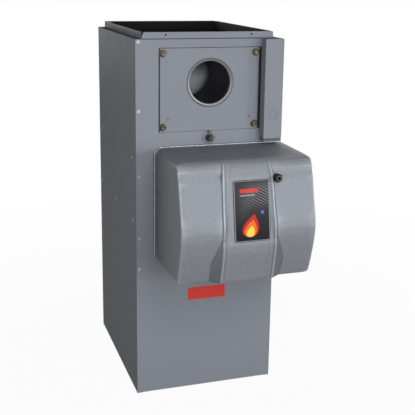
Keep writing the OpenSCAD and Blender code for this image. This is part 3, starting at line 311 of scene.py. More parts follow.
casing_enamel = sprayed("casing_enamel", tone(135, 139, 147), 0.5, specular=0.02)
# The cover's lacquer carries the painted highlight and painted shade of flaked().
cover_lacquer = flaked("cover_lacquer", tone(122, 126, 132), 0.58, 0.42)
# A darker copy of the cover's lacquer: painted shade in the scallops beside the column's foot.
scallop_painted_shade = flaked("scallop_painted_shade", tone(100, 103, 108), 0.62, 0.3)
# A lighter copy of the cover's lacquer: a painted highlight on the rolled rim.
rim_painted_highlight = flaked("rim_painted_highlight", tone(150, 154, 160), 0.45, 0.4)
zinc_sheet = plated("zinc_sheet", tone(150, 153, 156), 0.42, spangle=0.22)
screw_zinc = plated("screw_zinc", tone(150, 152, 156), 0.34)
casing_screw = dotted_screws("casing_screw")
washer_dark = plated("washer_dark", tone(58, 58, 60), 0.4)
black_board = rough_cast("black_board", tone(13, 13, 14), 0.9, 0.002)
exchanger_steel = rough_cast("exchanger_steel", tone(62, 58, 55), 0.6, 0.006, 0.4,
                             tone(92, 66, 50))
firebrick = rough_cast("firebrick", tone(190, 170, 140), 0.9, 0.003)
black_steel = sprayed("black_steel", tone(44, 44, 48), 0.5, 0.15, specular=0.1)
gasket_fibre = rough_cast("gasket_fibre", tone(205, 198, 180), 0.9, 0.0015)
collar_steel = plated("collar_steel", tone(104, 107, 112), 0.36, (1, 12, 1), metallic=0.7)
brass = plated("brass", tone(98, 74, 44), 0.26)
black_plastic = moulded("black_plastic", tone(24, 24, 26), 0.34)
pale_plastic = moulded("pale_plastic", tone(216, 211, 196), 0.42)
bush_rubber = moulded("bush_rubber", tone(92, 94, 98), 0.6, specular=0.2)
gasket_rubber = moulded("gasket_rubber", tone(20, 20, 21), 0.7, specular=0.2)
badge_enamel = sprayed("badge_enamel", tone(204, 36, 24), 0.22, 0.06, 0.02, 0.5)
cast_aluminium = rough_cast("cast_aluminium", tone(168, 170, 174), 0.5, 0.002, 0.7)
burner_steel = plated("burner_steel", tone(140, 141, 144), 0.36, (1, 10, 1))
motor_enamel = sprayed("motor_enamel", tone(34, 34, 37), 0.35, 0.12)
fan_zinc = plated("fan_zinc", tone(146, 149, 153), 0.45, spangle=0.12)
shaft_steel = plated("shaft_steel", tone(205, 205, 206), 0.22, (8, 1, 1))
pump_zinc = rough_cast("pump_zinc", tone(176, 160, 104), 0.42, 0.002, 0.6)
baffle_steel = sooted("baffle_steel", tone(238, 239, 241), 1.085)
copper_tube = plated("copper_tube", tone(196, 122, 82), 0.26)
porcelain = moulded("porcelain", tone(236, 230, 216), 0.18, 0.004)
control_grey = moulded("control_grey", tone(190, 192, 190), 0.45)
button_red = moulded("button_red", tone(186, 28, 24), 0.3)
bezel_steel = plated("bezel_steel", tone(112, 115, 120), 0.34, metallic=0.75)

slot_finishes = {
    "casing_paint": casing_enamel, "galvanised": zinc_sheet, "screw_zinc": screw_zinc,
    "black_board": black_board, "exchanger_steel": exchanger_steel, "firebrick": firebrick,
    "black_steel": black_steel, "gasket_fibre": gasket_fibre, "collar_steel": collar_steel,
    "brass": brass, "black_plastic": black_plastic, "pale_plastic": pale_plastic,
    "badge_red": badge_enamel, "cover_paint": cover_lacquer, "label_black": black_plastic,
    "cast_aluminium": cast_aluminium, "burner_tube": burner_steel, "motor_paint": motor_enamel,
    "fan_steel": fan_zinc, "shaft_steel": shaft_steel, "pump_metal": pump_zinc,
    "copper": copper_tube, "porcelain": porcelain, "control_grey": control_grey,
    "button_red": button_red, "baffle_steel": baffle_steel,
}


def dress_frame():
    """Gives every node of the frame the finish of its material slot."""
    for part in frame["record"]["subparts"]:
        node = frame["nodes"][part["node"]]
        node.data.materials.clear()
        node.data.materials.append(slot_finishes[part["material_slot"]])
    frame["nodes"]["casing_screws"].data.materials[0] = casing_screw


dress_frame()


# Modelling tools

def start(name, kind, **settings):
    """A primitive to begin a piece from, in edit mode with nothing selected."""
    bpy.ops.object.select_all(action="DESELECT")
    getattr(bpy.ops.mesh, f"primitive_{kind}_add")(**settings)
    piece = bpy.context.object
    piece.name = name
    bpy.ops.object.transform_apply(location=True, rotation=True, scale=True)
    bpy.ops.object.mode_set(mode="EDIT")
    bpy.ops.mesh.select_all(action="DESELECT")
    return piece


def start_box(name, low, high):
    low, high = Vector(low), Vector(high)
    return start(name, "cube", size=1, location=(low + high) / 2, scale=high - low)


def start_bar(name, x, z, y0, y1, radius, sides=48):
    """A round bar along Y."""
    return start(name, "cylinder", vertices=sides, radius=radius, depth=y1 - y0,
                 location=(x, (y0 + y1) / 2, z), rotation=(math.pi / 2, 0, 0))


def middle(item):
    """The middle of a vertex, an edge or a face."""
    if isinstance(item, bmesh.types.BMVert):
        return item.co
    return sum((v.co for v in item.verts), Vector()) / len(item.verts)


def pick(piece, kind, test):
    """Selects the vertices, edges or faces whose middle passes a test, and no others."""
    bpy.ops.mesh.select_mode(type=kind)
    bpy.ops.mesh.select_all(action="DESELECT")
    mesh = bmesh.from_edit_mesh(piece.data)
    items = {"VERT": mesh.verts, "EDGE": mesh.edges, "FACE": mesh.faces}[kind]
    for item in items:
        if test(middle(item), item):
            item.select_set(True)
    bmesh.update_edit_mesh(piece.data)


def pick_facing(piece, direction):
    """Selects the faces that look in a direction."""
    direction = Vector(direction)
    pick(piece, "FACE", lambda c, f: f.normal.dot(direction) > 0.9)


def along_y(edge):
    """How far an edge reaches along Y."""
    return abs(edge.verts[0].co.y - edge.verts[1].co.y)


def slice_at(axis, places):
    """Cuts the piece along planes square to an axis."""
    normal = Vector((axis == "x", axis == "y", axis == "z"))
    for place in places:
        bpy.ops.mesh.select_all(action="SELECT")
        bpy.ops.mesh.bisect(plane_co=normal * place, plane_no=normal)
    bpy.ops.mesh.select_all(action="DESELECT")


def shift(x=0.0, y=0.0, z=0.0):
    bpy.ops.transform.translate(value=(x, y, z))


def shrink(scale, centre):
    bpy.ops.transform.resize(value=scale, center_override=centre)


def round_edges(piece, width, segments, test):
    """Bevels the edges whose middle passes a test."""
    pick(piece, "EDGE", test)
    bpy.ops.mesh.bevel(offset=width, segments=segments, affect="EDGES", profile=0.5)


def hollow_out(piece, margin):
    """Turns a plate or a disc into a ring: its two faces are inset and opened, and the edges of
    the openings joined."""
    for direction in (-1, 1):
        pick_facing(piece, (0, direction, 0))
        bpy.ops.mesh.inset(thickness=margin)
        bpy.ops.mesh.delete(type="FACE")
    pick(piece, "EDGE", lambda c, e: e.is_boundary)
    bpy.ops.mesh.bridge_edge_loops()


def modifier(piece, kind, **settings):
    made = piece.modifiers.new(kind.title(), kind)
    for name, value in settings.items():
        setattr(made, name, value)


def soften(piece, width, segments=2, angle=30):
    """Bevels the edges sharper than an angle in degrees."""
    modifier(piece, "BEVEL", width=width, segments=segments, limit_method="ANGLE",
             angle_limit=math.radians(angle))


def finish(piece, body, slot, material, replaces=(), smooth=30):
    """Applies the piece's modifiers and place, and hands it to its body."""
    if bpy.context.mode != "OBJECT":
        bpy.ops.object.mode_set(mode="OBJECT")
    bpy.ops.object.select_all(action="DESELECT")
    bpy.context.view_layer.objects.active = piece
    piece.select_set(True)
    for made in list(piece.modifiers):
        bpy.ops.object.modifier_apply(modifier=made.name)
    bpy.ops.object.transform_apply(location=True, rotation=True, scale=True)
    bpy.ops.object.shade_smooth_by_angle(angle=math.radians(smooth))
    if not piece.data.materials:
        piece.data.materials.append(material)
    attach(piece, body)
    if replaces:
        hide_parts(*replaces)


def copies(piece, places):
    """A copy of a piece at each place, each with its own mesh, joined into one."""
    bpy.ops.object.mode_set(mode="OBJECT")
    made = []
    for place in places:
        copy = piece.copy()
        copy.data = piece.data.copy()
        copy.data.transform(place)
        bpy.context.collection.objects.link(copy)
        made.append(copy)
    bpy.data.objects.remove(piece)
    bpy.ops.object.select_all(action="DESELECT")
    for copy in made:
        copy.select_set(True)
    bpy.context.view_layer.objects.active = made[0]
    bpy.ops.object.join()
    return made[0]


def softened_copy(node, body, slot, material, fold):
    """Stands for a sheet-metal node with a copy whose edges have a small fold radius."""
    source = frame["nodes"][node]
    copy = source.copy()
    copy.data = source.data.copy()
    copy.name = node + "_sheet"
    copy.parent = None
    for key in list(copy.keys()):
        del copy[key]
    bpy.context.collection.objects.link(copy)
    bpy.ops.object.select_all(action="DESELECT")
    bpy.context.view_layer.objects.active = copy
    copy.select_set(True)
    bpy.ops.object.mode_set(mode="EDIT")
    bpy.ops.mesh.select_all(action="SELECT")
    bpy.ops.mesh.remove_doubles(threshold=SAME)
    bpy.ops.mesh.dissolve_limited(angle_limit=math.radians(1))
    bpy.ops.object.mode_set(mode="OBJECT")
    copy.data.materials.clear()
    soften(copy, fold)
    finish(copy, body, slot, material, [node], smooth=SHEET_SMOOTH)


# Burner cover

cover_low, cover_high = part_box("burner_cover")
cover_lip = 2.5 * MM
cover_lip_depth = 5 * MM
cover_x = (cover_low.x + cover_high.x) / 2
body_half = (cover_high.x - cover_low.x) / 2 - cover_lip
body_h = cover_high.z - cover_low.z - cover_lip
cover_wall = 3 * MM
nose = 309 * MM                  # how far the cover reaches out from the front panel
side_straight = 193 * MM         # depth of an upright cut along the sides
side_taper = 2 * MM
rear_corner = {-1: 25 * MM, 1: 6 * MM}   # radius of the top edge at the back, left and right
front_top_corner = 9 * MM
foot_corner = 12 * MM
upright_corner = 8 * MM
column_half = 84 * MM
column_bevel = 13 * MM
bead_half = 4.5 * MM
ridge = (2.2 * MM, 0.9 * MM)     # half width and height of the ridge along the column's bevel
bead_h = 2.5 * MM
bead_steps = ((1, 0), (0.68, 0.5), (0.36, 0.87), (0, 1))   # distance from the crest, and height
groove = (2.4 * MM, 1.4 * MM)    # width and depth of the groove outside each bead
bead_end = column_half + bead_half
groove_mid = bead_end + groove[0] / 2
groove_end = bead_end + groove[0]
lean_end = groove_end + 3 * MM   # how far outside the beads the scallops lean the surface
bead_foot = 0.4 * MM             # rise of the surface at the foot of a bead
crease = column_half - column_bevel
scallop_top = 146 * MM           # height up to which the grooves have the scallops' darker lacquer, painted shade
vent_half = 150 * MM
vent_back = 40 * MM
vent_front = 200 * MM
column_cuts = (30 * MM, 52 * MM)  # further upright cuts, by their distance from the middle
bulge_cuts = (128 * MM, vent_half, 182 * MM)
depth_cuts = (6 * MM, vent_back, 90 * MM, 145 * MM, side_straight, vent_front)

# The profiles, in millimetres above the cover's bottom: how far forward the bulges and the
# column reach, how far the scallops lean outwards, and how much narrower the column gets.
flat_low = (127, 310)            # the two ends of the column's flat face
flat_high = (330.5, 275)
bulge_line = [(0, 262), (4, 267), (50, 283.8), (98, 298.1), (128, 305), (148, 308), (171, 309),
              (199, 305), (254.5, 289), (300.5, 278), (318.5, 274), (337.5, 266), (353.5, 263),
              (362.5, 258), (370.5, 251), (377.5, 240)]
column_line = [(0, 282), (4, 287), (98, 308), flat_low, flat_high, (353.5, 264), (362.5, 258),
               (370.5, 251), (377.5, 240)]
scallop_line = [(0, 27), (72, 30), (148, 0.5), (377.5, 0.5)]
narrowing_line = [(0, 0), (148, 0), (330.5, 5), (377.5, 11)]
cover_rows = [0, 0.8, 2, 4, 6.5, 9.5, 12, 22, 34, 44, 50, 56, 66, 82, 92, 98, 104, 114, 122, 127,
              132, 139, 144, 148, 152, 158, 165, 171, 177, 187, 199, 210, 224, 238, 248, 254.5,
              262, 280, 294, 300.5, 307, 314, 318.5, 323, 328, 332, 335, 337.5, 341, 345, 349,
              352, 355, 358, 360.5, 362.5, 365, 367.5, 370, 372, 374, 375.5, 376.6, 377.5]


def read_line(line, height):
    """A profile's value at a height, both in millimetres along a list of corners."""
    for (h0, v0), (h1, v1) in zip(line, line[1:]):
        if h0 <= height <= h1:
            return v0 + (v1 - v0) * (height - h0) / (h1 - h0)
    return line[-1][1]


def soft_line(line, height):
    """The profile's mean over a short stretch, shorter near the top, for soft creases."""
    width = 9.0 if height < 300 else 4.0
    reach = max(0.0, min(width / 2, height, line[-1][0] - height))
    return sum(read_line(line, height + reach * step / 4) for step in range(-4, 5)) / 9


def corner_inset(from_edge, radius):
    """How far a round corner draws a side in, at a distance from the edge."""
    left = min(max(radius - from_edge, 0), radius)
    return radius - math.sqrt(radius ** 2 - left ** 2)


def pull(piece, points, x=0.0, y=0.0):
    """Moves vertices, given by their indices, by a distance."""
    if not points or abs(x) + abs(y) < 0.000001:
        return
    mesh = bmesh.from_edit_mesh(piece.data)
    mesh.verts.ensure_lookup_table()
    for v in mesh.verts:
        v.select = False
    for index in points:
        mesh.verts[index].select_set(True)
    bmesh.update_edit_mesh(piece.data)
    shift(x, y)


def cover_blank():
    """A box with round upright edges and an open back, cut into the cover's rows and columns."""
    piece = start_box("burner_cover_shell", (cover_x - body_half, front - nose, cover_low.z),
                      (cover_x + body_half, front, cover_low.z + body_h))
    pick_facing(piece, (0, 1, 0))
    bpy.ops.mesh.delete(type="FACE")
    middle_z = cover_low.z + body_h / 2
    round_edges(piece, upright_corner, 6, lambda c, e: c.y < front - nose + NEAR
                and abs(c.z - middle_z) < NEAR and abs(c.x - cover_x) > body_half - NEAR)
    cuts = [*column_cuts, crease - ridge[0], crease, crease + ridge[0], groove_mid, groove_end,
            lean_end, *bulge_cuts]
    cuts += [column_half - bead_half * away for away, rise in bead_steps]
    cuts += [column_half + bead_half * away for away, rise in bead_steps[:-1]]
    slice_at("x", [cover_x + side * cut for cut in cuts for side in (-1, 1)])
    slice_at("z", [cover_low.z + row * MM for row in cover_rows[1:-1]])
    slice_at("y", [front - depth for depth in depth_cuts])
    return piece


def shape_cover(piece):
    """Pulls each row of the blank out to its profile."""
    slant = 1 - ridge[0] / (column_bevel - bead_half)   # share of the bevel outside the ridge
    mesh = bmesh.from_edit_mesh(piece.data)
    rows = {row: [] for row in cover_rows}
    for v in mesh.verts:
        row = min(cover_rows, key=lambda row: abs(cover_low.z + row * MM - v.co.z))
        rows[row].append((v.index, v.co.x - cover_x, front - v.co.y))
    for row, points in rows.items():
        bulge = soft_line(bulge_line, row) * MM
        column = soft_line(column_line, row) * MM
        crest = max(bulge, column) + bead_foot
        proud = max(0.0, column - bulge)
        lean = soft_line(scallop_line, row) * MM
        hollow = groove[1] * (1 - min(1.0, proud / (5 * MM)))
        narrow = soft_line(narrowing_line, row) * MM
        fade = min(1.0, (body_h - row * MM) / (10 * MM))

        def front_points(inner, outer):
            return [index for index, x, depth in points if depth > nose - upright_corner - NEAR
                    and inner - NEAR < abs(x) < outer + NEAR]

        pull(piece, front_points(0, body_half), y=nose - bulge)
        pull(piece, front_points(0, bead_end), y=bulge - crest)
        pull(piece, front_points(0, crease), y=crest - column)
        pull(piece, front_points(crease, crease), y=-ridge[1] * fade)
        pull(piece, front_points(crease + ridge[0], crease + ridge[0]),
             y=(crest - column) * slant)
        for away, rise in bead_steps[1:]:
            for spot in {column_half - bead_half * away, column_half + bead_half * away}:
                pull(piece, front_points(spot, spot), y=-bead_h * rise * fade)
        pull(piece, front_points(groove_mid, groove_mid), y=(bulge - crest) / 2 + hollow * fade)
        for side in (-1, 1):
            ours = {index for index, x, depth in points if side * x > 0}

            def side_points(inner, outer):
                return [index for index in front_points(inner, outer) if index in ours]

            pull(piece, side_points(groove_mid, groove_mid), x=side * lean / 2)
            pull(piece, side_points(groove_end, lean_end), x=side * lean)
            pull(piece, side_points(crease - ridge[0], lean_end), x=-side * narrow)
            outside = [(index, depth) for index, x, depth in points
                       if side * x > body_half - upright_corner - NEAR]
            foot_inset = corner_inset(row * MM, foot_corner)
            for depth in sorted({round(depth, 5) for index, depth in outside}):
                radius = rear_corner[side] + (front_top_corner - rear_corner[side]) * depth / nose
                inset = corner_inset(body_h - row * MM, radius) + foot_inset
                if depth > nose - upright_corner - NEAR:
                    inset += side_taper
                pull(piece, [index for index, d in outside if abs(d - depth) < SAME],
                     x=-side * inset)


def burner_cover():
    """The moulded cover: painted shade in the grooves beside its column's foot, open below and
    behind.
    """
    piece = cover_blank()
    piece.data.materials.append(cover_lacquer)
    piece.data.materials.append(scallop_painted_shade)
    # The grooves beside the column's foot take the darker lacquer: painted shade.
    pick(piece, "FACE", lambda c, f: c.z < cover_low.z + scallop_top
         and c.y < front - nose + NEAR and bead_end < abs(c.x - cover_x) < groove_end)
    piece.active_material_index = 1
    bpy.ops.object.material_slot_assign()
    shape_cover(piece)
    pick(piece, "FACE", lambda c, f: c.z < cover_low.z + NEAR and abs(c.x - cover_x) < vent_half
         and vent_back < front - c.y < vent_front)
    bpy.ops.mesh.delete(type="FACE")
    modifier(piece, "SOLIDIFY", thickness=cover_wall, offset=-1)
    finish(piece, "burner_cover", "cover_paint", cover_lacquer, ["burner_cover"], smooth=38)


def cover_frame(name, low, high, back, depth, proud, inner, width, material, slot):
    """A rounded frame that follows the cover's back edge, standing out by a width."""
    centre = (low + high) / 2
    rim = start_box(name, (low.x - proud, back - depth, low.z - proud),
                    (high.x + proud, back, high.z + proud))
    corners = ((-1, 1, rear_corner[-1]), (1, 1, rear_corner[1]),
               (-1, -1, foot_corner), (1, -1, foot_corner))
    for side, up, radius in corners:
        round_edges(rim, radius + cover_lip + proud, 7, lambda c, e: along_y(e) > 0.5 * MM
                    and (c.x - centre.x) * side > 0.2 and (c.z - centre.z) * up > 0.17)
    hollow_out(rim, inner)
    soften(rim, width, 3, 50)
    finish(rim, "burner_cover", slot, material, smooth=50)


def cover_edge():
    """The rolled edge round the cover's back, in lighter lacquer as a painted highlight, and a
    black strip between it and the casing as painted shadow in the gap.
    """
    gap = 1.6 * MM                   # between the rolled edge and the casing, for the black strip of painted shadow
    cover_frame("burner_cover_rim", cover_low, cover_high, front - gap, cover_lip_depth - gap, 0,
                cover_lip + 1.2 * MM, 1.0 * MM, rim_painted_highlight, "cover_paint")
    # The black strip stands out round the rim: painted shadow.
    proud = 1.0 * MM
    cover_frame("burner_cover_gap_shadow", cover_low, cover_high - Vector((proud, 0, 0)),
                front - 0.1 * MM, 1.4 * MM, proud, cover_lip + 3 * MM, 0.3 * MM, gasket_rubber,
                "black_plastic")


burner_cover()
cover_edge()


# Label, badge and knob

label_low, label_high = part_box("label_plate")
label_x = (label_low.x + label_high.x) / 2
label_z = (label_low.z + label_high.z) / 2
label_tilt = math.atan2(flat_low[1] - flat_high[1], flat_high[0] - flat_low[0])
label_w = label_high.x - label_low.x
label_h = 190 * MM
label_rim = 4 * MM
label_seat = 0.3 * MM
label_line = 1.2 * MM            # width of the dark line round the rim
label_corner = 8 * MM
face_depth, rim_depth, backing_depth = 2.0 * MM, 3.2 * MM, 1.2 * MM   # from the cover's face
label_centre = (label_x, front - read_line(column_line, (label_z - cover_low.z) / MM) * MM,
                label_z)


def label_print():
    """A black label with a plain printed pattern: slanting stripes, a flame, a dot and two bars,
    all in millimetres from its middle."""
    paint = Finish("label_print", tone(16, 16, 19), 0.3, specular=0.2)
    x, _, z = paint.axes(paint.place(label_centre, (-label_tilt, 0, 0)))
    x, z = x / MM, z / MM
    grey = tone(150, 152, 158)
    edge = 0.6                   # half the width of the print's soft edges
    colour = paint.blend(z.above(10, 80), tone(13, 13, 16), tone(34, 34, 40))
    slant = (x * 0.55 + z) / 9
    stripe = (slant.sum("FRACT").below(0.30, 0.10) * z.above(16, 14) * x.above(-6, 34)
              * z.below(78, 10))
    colour = paint.blend(stripe * 0.5, colour, grey)
    flame_foot, flame_h, flame_w, flame_x, flame_lean = -80, 70, 27, -8, 16
    for scale, ink in ((1.0, tone(190, 34, 24)), (0.76, tone(224, 112, 36)),
                       (0.5, tone(238, 206, 84))):
        height = ((z - flame_foot) / (flame_h * scale)).sum("MAXIMUM", 0.0).sum("MINIMUM", 1.0)
        half = height.sum("SQRT") * (1 - height) * (2.6 * flame_w * scale)
        side = abs(x - flame_x - height * height * flame_lean * scale)
        colour = paint.blend((half - side).above(0.4, 0.5), colour, ink)
    dot_x, dot_z = x - 34, z + 6
    dot = (dot_x * dot_x + dot_z * dot_z).sum("SQRT").below(5.5, edge)
    colour = paint.blend(dot, colour, tone(84, 96, 190))
    bar = abs(z - 62).below(6, edge) * abs(x + 8).below(30, edge)
    colour = paint.blend(bar, colour, tone(200, 40, 30))
    thin = abs(z - 48).below(1.5, edge) * abs(x + 14).below(24, edge)
    colour = paint.blend(thin, colour, grey)
    return paint.dress(Base_Color=colour, Roughness=0.28 + 0.10 * paint.noise(0.01, 3.0))


def start_plate(name, margin, depth, corner, segments):
    """A plate on the cover's face with round corners, smaller than the label by a margin."""
    half_w, half_h = label_w / 2 - margin, label_h / 2 - margin
    plate = start_box(name, (-half_w, -depth, -half_h), (half_w, -label_seat, half_h))
    round_edges(plate, corner, segments, lambda c, e: abs(c.x) > 0.04 and abs(c.z) > 0.07)
    return plate


def place_label(piece, material, replaces=()):
    bpy.ops.object.mode_set(mode="OBJECT")
    piece.rotation_euler = (-label_tilt, 0, 0)
    piece.location = label_centre
    finish(piece, "burner_cover", "label_black", material, replaces)


def label():
    """The printed plate in its raised rim, on a dark backing that shows as a line round it."""
    face = start_plate("label_face", label_rim * 0.6, face_depth, 5 * MM, 5)
    round_edges(face, 0.4 * MM, 2, lambda c, e: c.y < 0.1 * MM - face_depth)
    place_label(face, label_print(), ["label_plate"])
    rim = start_plate("label_bezel", label_line, rim_depth, label_corner, 6)
    hollow_out(rim, label_rim - label_line)
    round_edges(rim, 1.2 * MM, 3, lambda c, e: c.y < 0.1 * MM - rim_depth)
    place_label(rim, bezel_steel)
    backing = start_plate("label_backing", 0, backing_depth, label_corner, 6)
    round_edges(backing, 0.3 * MM, 2, lambda c, e: c.y < 0.1 * MM - backing_depth)
    place_label(backing, gasket_rubber)


label()


def badge():
    """A plain enamelled plate with a raised rim."""
    low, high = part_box("badge_plate")
    centre = (low + high) / 2
    plate = start_box("badge_enamel_plate", low, high)
    round_edges(plate, 6 * MM, 5, lambda c, e: abs(c.x - centre.x) > 0.05
                and abs(c.z - centre.z) > 0.015 and abs(c.y - centre.y) < NEAR)
    pick_facing(plate, (0, -1, 0))
    bpy.ops.mesh.inset(thickness=2.5 * MM)
    shift(y=0.5 * MM)
    soften(plate, 0.25 * MM)
    finish(plate, "blower_door", "badge_red", badge_enamel, ["badge_plate"])


badge()


THREAD_ROOT = 0.86     # a thread's root, as a share of its outside


def knob():
    """The cover's fastening knob: a fluted black head on a neck and a steel screw."""
    low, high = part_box("cover_knob")
    x, z = (low.x + high.x) / 2, (low.z + high.z) / 2
    radius = (high.x - low.x) / 2
    head_depth, neck_end = 16 * MM, 25 * MM
    sides, flute = 40, 0.7 * MM          # two sides in four are raised to leave the flutes
    head = start_bar("cover_knob_head", x, z, low.y + 0.6 * MM, low.y + head_depth,
                     radius - flute, sides)
    pick(head, "FACE", lambda c, f: abs(f.normal.y) < 0.1
         and int(round(math.atan2(c.z - z, c.x - x) / TURN * sides - 0.5)) % 4 < 2)
    bpy.ops.mesh.extrude_region_shrink_fatten(TRANSFORM_OT_shrink_fatten={"value": flute})
    pick_facing(head, (0, -1, 0))
    for margin, rise in ((1.6 * MM, -0.5 * MM), (2.4 * MM, 0.8 * MM)):
        bpy.ops.mesh.inset(thickness=margin)
        shift(y=rise)
    pick_facing(head, (0, 1, 0))
    bpy.ops.mesh.inset(thickness=radius / 2)
    for length in (6 * MM, 0.6 * MM):    # the neck, and the step out to the collar at its end
        bpy.ops.mesh.extrude_region_move(TRANSFORM_OT_translate={"value": (0, length, 0)})
    shrink((1.5, 1, 1.5), (x, 0, z))
    bpy.ops.mesh.extrude_region_move(TRANSFORM_OT_translate={"value": (0, 2.4 * MM, 0)})
    soften(head, 0.4 * MM, angle=35)
    finish(head, "cover_knob", "black_plastic", black_plastic, ["cover_knob"])
    screw = start_bar("cover_knob_screw", x, z, low.y + neck_end - 1 * MM, high.y, 3 * MM, 24)
    pick_facing(screw, (0, 1, 0))
    bpy.ops.mesh.inset(thickness=0.8 * MM)
    shift(y=-0.8 * MM)
    slice_at("y", [low.y + neck_end + turn * MM for turn in range(1, 29)])
    pick(screw, "EDGE", lambda c, e: int(round((c.y - low.y) / MM)) % 2 == 0
         and along_y(e) < NEAR and c.y < high.y - 3 * MM)
    shrink((THREAD_ROOT, 1, THREAD_ROOT), (x, 0, z))
    finish(screw, "cover_knob", "screw_zinc", screw_zinc)


knob()


# Nuts, washers and screws

def nuts():
    """Chamfered brass nuts on threaded studs with washers, one at each corner of the plate."""
    low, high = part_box("plate_nuts")
    washer_r, washer_t = 12 * MM, 1.5 * MM
    nut_af, nut_face = 16 * MM, 9.5 * MM         # across flats, and its front's distance
    stud_r, stud_end = 4 * MM, 14 * MM
    thread_start, thread_step, thread_cuts = 5.5, 0.6, 13    # in millimetres
    xs = (low.x + washer_r, high.x - washer_r)
    zs = (low.z + washer_r, high.z - washer_r)
    places = [Matrix.Translation((x, high.y, z)) for x in xs for z in zs]
    washer = start_bar("stud_washers", 0, 0, -washer_t, 0, washer_r, 40)
    round_edges(washer, 0.5 * MM, 2, lambda c, e: c.y < 0.1 * MM - washer_t)
    finish(copies(washer, places), "cabinet", "screw_zinc", washer_dark)
    nut = start_bar("stud_nuts", 0, 0, -nut_face, -washer_t, nut_af / math.sqrt(3), 6)
    pick_facing(nut, (0, -1, 0))
    bpy.ops.mesh.inset(thickness=1.6 * MM)
    pick(nut, "VERT", lambda c, v: c.y < 0.1 * MM - nut_face
         and math.hypot(c.x, c.z) > 8.6 * MM)
    shift(y=1.0 * MM)
    pick(nut, "FACE", lambda c, f: f.normal.y < -0.95 and c.y < 0.1 * MM - nut_face)
    bpy.ops.mesh.inset(thickness=2.2 * MM)
    shift(y=0.7 * MM)
    soften(nut, 0.5 * MM, angle=25)
    finish(copies(nut, places), "cabinet", "brass", brass, ["plate_nuts"])
    stud = start_bar("stud_threads", 0, 0, -stud_end, -5 * MM, stud_r, 24)
    slice_at("y", [-(thread_start + thread_step * turn) * MM for turn in range(thread_cuts)])
    pick(stud, "EDGE", lambda c, e: along_y(e) < NEAR
         and int(round((-c.y / MM - thread_start) / thread_step)) % 2 == 0)
    shrink((THREAD_ROOT, 1, THREAD_ROOT), (0, 0, 0))
    finish(copies(stud, places), "cabinet", "screw_zinc", screw_zinc)


nuts()


# Flue collar and sight port

collar_low, collar_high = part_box("flue_collar")
collar_x = (collar_low.x + collar_high.x) / 2
collar_z = (collar_low.z + collar_high.z) / 2
collar_r = (collar_high.x - collar_low.x) / 2
seal_shows = 1.2 * MM  # width of the seal that shows round the flange


def flue_collar():
    """The collar's tube with a stop bead and a rolled front rim, spun from its profile."""
    face = collar_low.y
    outer = collar_r - seal_shows
    bore = 76.2 * MM
    tube = bore + 1.5 * MM
    bead = face + 3 * MM
    profile = [(tube, collar_high.y), (bore, collar_high.y), (bore, bead + 6 * MM),
               (bore - 5.4 * MM, bead + 4.4 * MM), (bore - 6.4 * MM, bead + 2.8 * MM),
               (bore - 5.4 * MM, bead + 1.2 * MM), (bore, bead), (bore, face + 1.4 * MM),
               (bore + 0.5 * MM, face + 0.5 * MM), (bore + 1.2 * MM, face),
               (outer - 1.0 * MM, face), (outer - 0.2 * MM, face + 0.5 * MM),
               (outer, face + 1.0 * MM), (outer, face + 2.0 * MM), (tube, face + 2.0 * MM)]
    ring = start("flue_collar_ring", "plane", size=0.01)
    bpy.ops.mesh.select_all(action="SELECT")
    bpy.ops.mesh.delete(type="VERT")
    mesh = bmesh.from_edit_mesh(ring.data)
    points = [mesh.verts.new((collar_x + r, y, collar_z)) for r, y in profile]
    for a, b in zip(points, points[1:] + points[:1]):
        mesh.edges.new((a, b))
    bmesh.update_edit_mesh(ring.data)
    bpy.ops.mesh.select_all(action="SELECT")
    bpy.ops.mesh.spin(steps=96, angle=TURN, center=(collar_x, 0, collar_z), axis=(0, 1, 0))
    bpy.ops.mesh.select_all(action="SELECT")
    bpy.ops.mesh.remove_doubles(threshold=0.00002)
    bpy.ops.mesh.normals_make_consistent(inside=False)
    finish(ring, "cabinet", "collar_steel", collar_steel, ["flue_collar"], smooth=40)


def collar_seal():
    """The dark sealing ring round the flue collar's flange."""
    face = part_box("flue_access_plate")[0].y
    ring = start_bar("flue_collar_seal", collar_x, collar_z, face - 0.8 * MM, face - seal_and_shadow_seat,
                     collar_r, 96)
    hollow_out(ring, 2.4 * MM)
    finish(ring, "cabinet", "black_plastic", gasket_rubber)


flue_collar()
collar_seal()


# Sheet metal

def sheet_metal():
    """The casing's sheets with a small fold radius on their edges."""
    for node in ("front_panel", "left_side_panel", "right_side_panel", "back_panel", "top_frame",
                 "wiring_channel", "flue_access_plate", "blower_door"):
        softened_copy(node, "blower_door" if node == "blower_door" else "cabinet",
                      "casing_paint", casing_enamel, 0.3 * MM)


sheet_metal()


# Seals, linings, trims, and black strips of painted shade and shadow

def strip(name, low, high, width, material, slot="black_plastic"):
    """A short block with softened edges: a length of seal, lining or trim, and also the black
    strips of painted shade and shadow.
    """
    piece = start_box(name, low, high)
    round_edges(piece, width, 2, lambda c, e: True)
    finish(piece, "cabinet", slot, material, smooth=SHEET_SMOOTH)


channel_low, channel_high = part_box("wiring_channel")


def plate_gap_shadows():
    """Black strips along the access plate's left and top edges, and one between the plate and the
    wiring channel: painted shadow in the gaps round the plate."""
    low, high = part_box("flue_access_plate")
    face = low.y
    side, edge = 3 * MM, 1.2 * MM        # widths of the left and the top strip of painted shadow
    strip("plate_gap_shadow_left", (low.x, face - 1.0 * MM, low.z),
          (low.x + side, face - seal_and_shadow_seat, high.z), seal_and_shadow_edge, gasket_rubber)
    strip("plate_gap_shadow_top", (low.x + side, face - 1.0 * MM, high.z - edge),
          (high.x, face - seal_and_shadow_seat, high.z), seal_and_shadow_edge, gasket_rubber)
    strip("channel_gap_shadow", (high.x + 0.3 * MM, front - 0.8 * MM, low.z),
          (channel_low.x - 0.1 * MM, front - seal_and_shadow_seat, high.z), seal_and_shadow_edge, gasket_rubber)


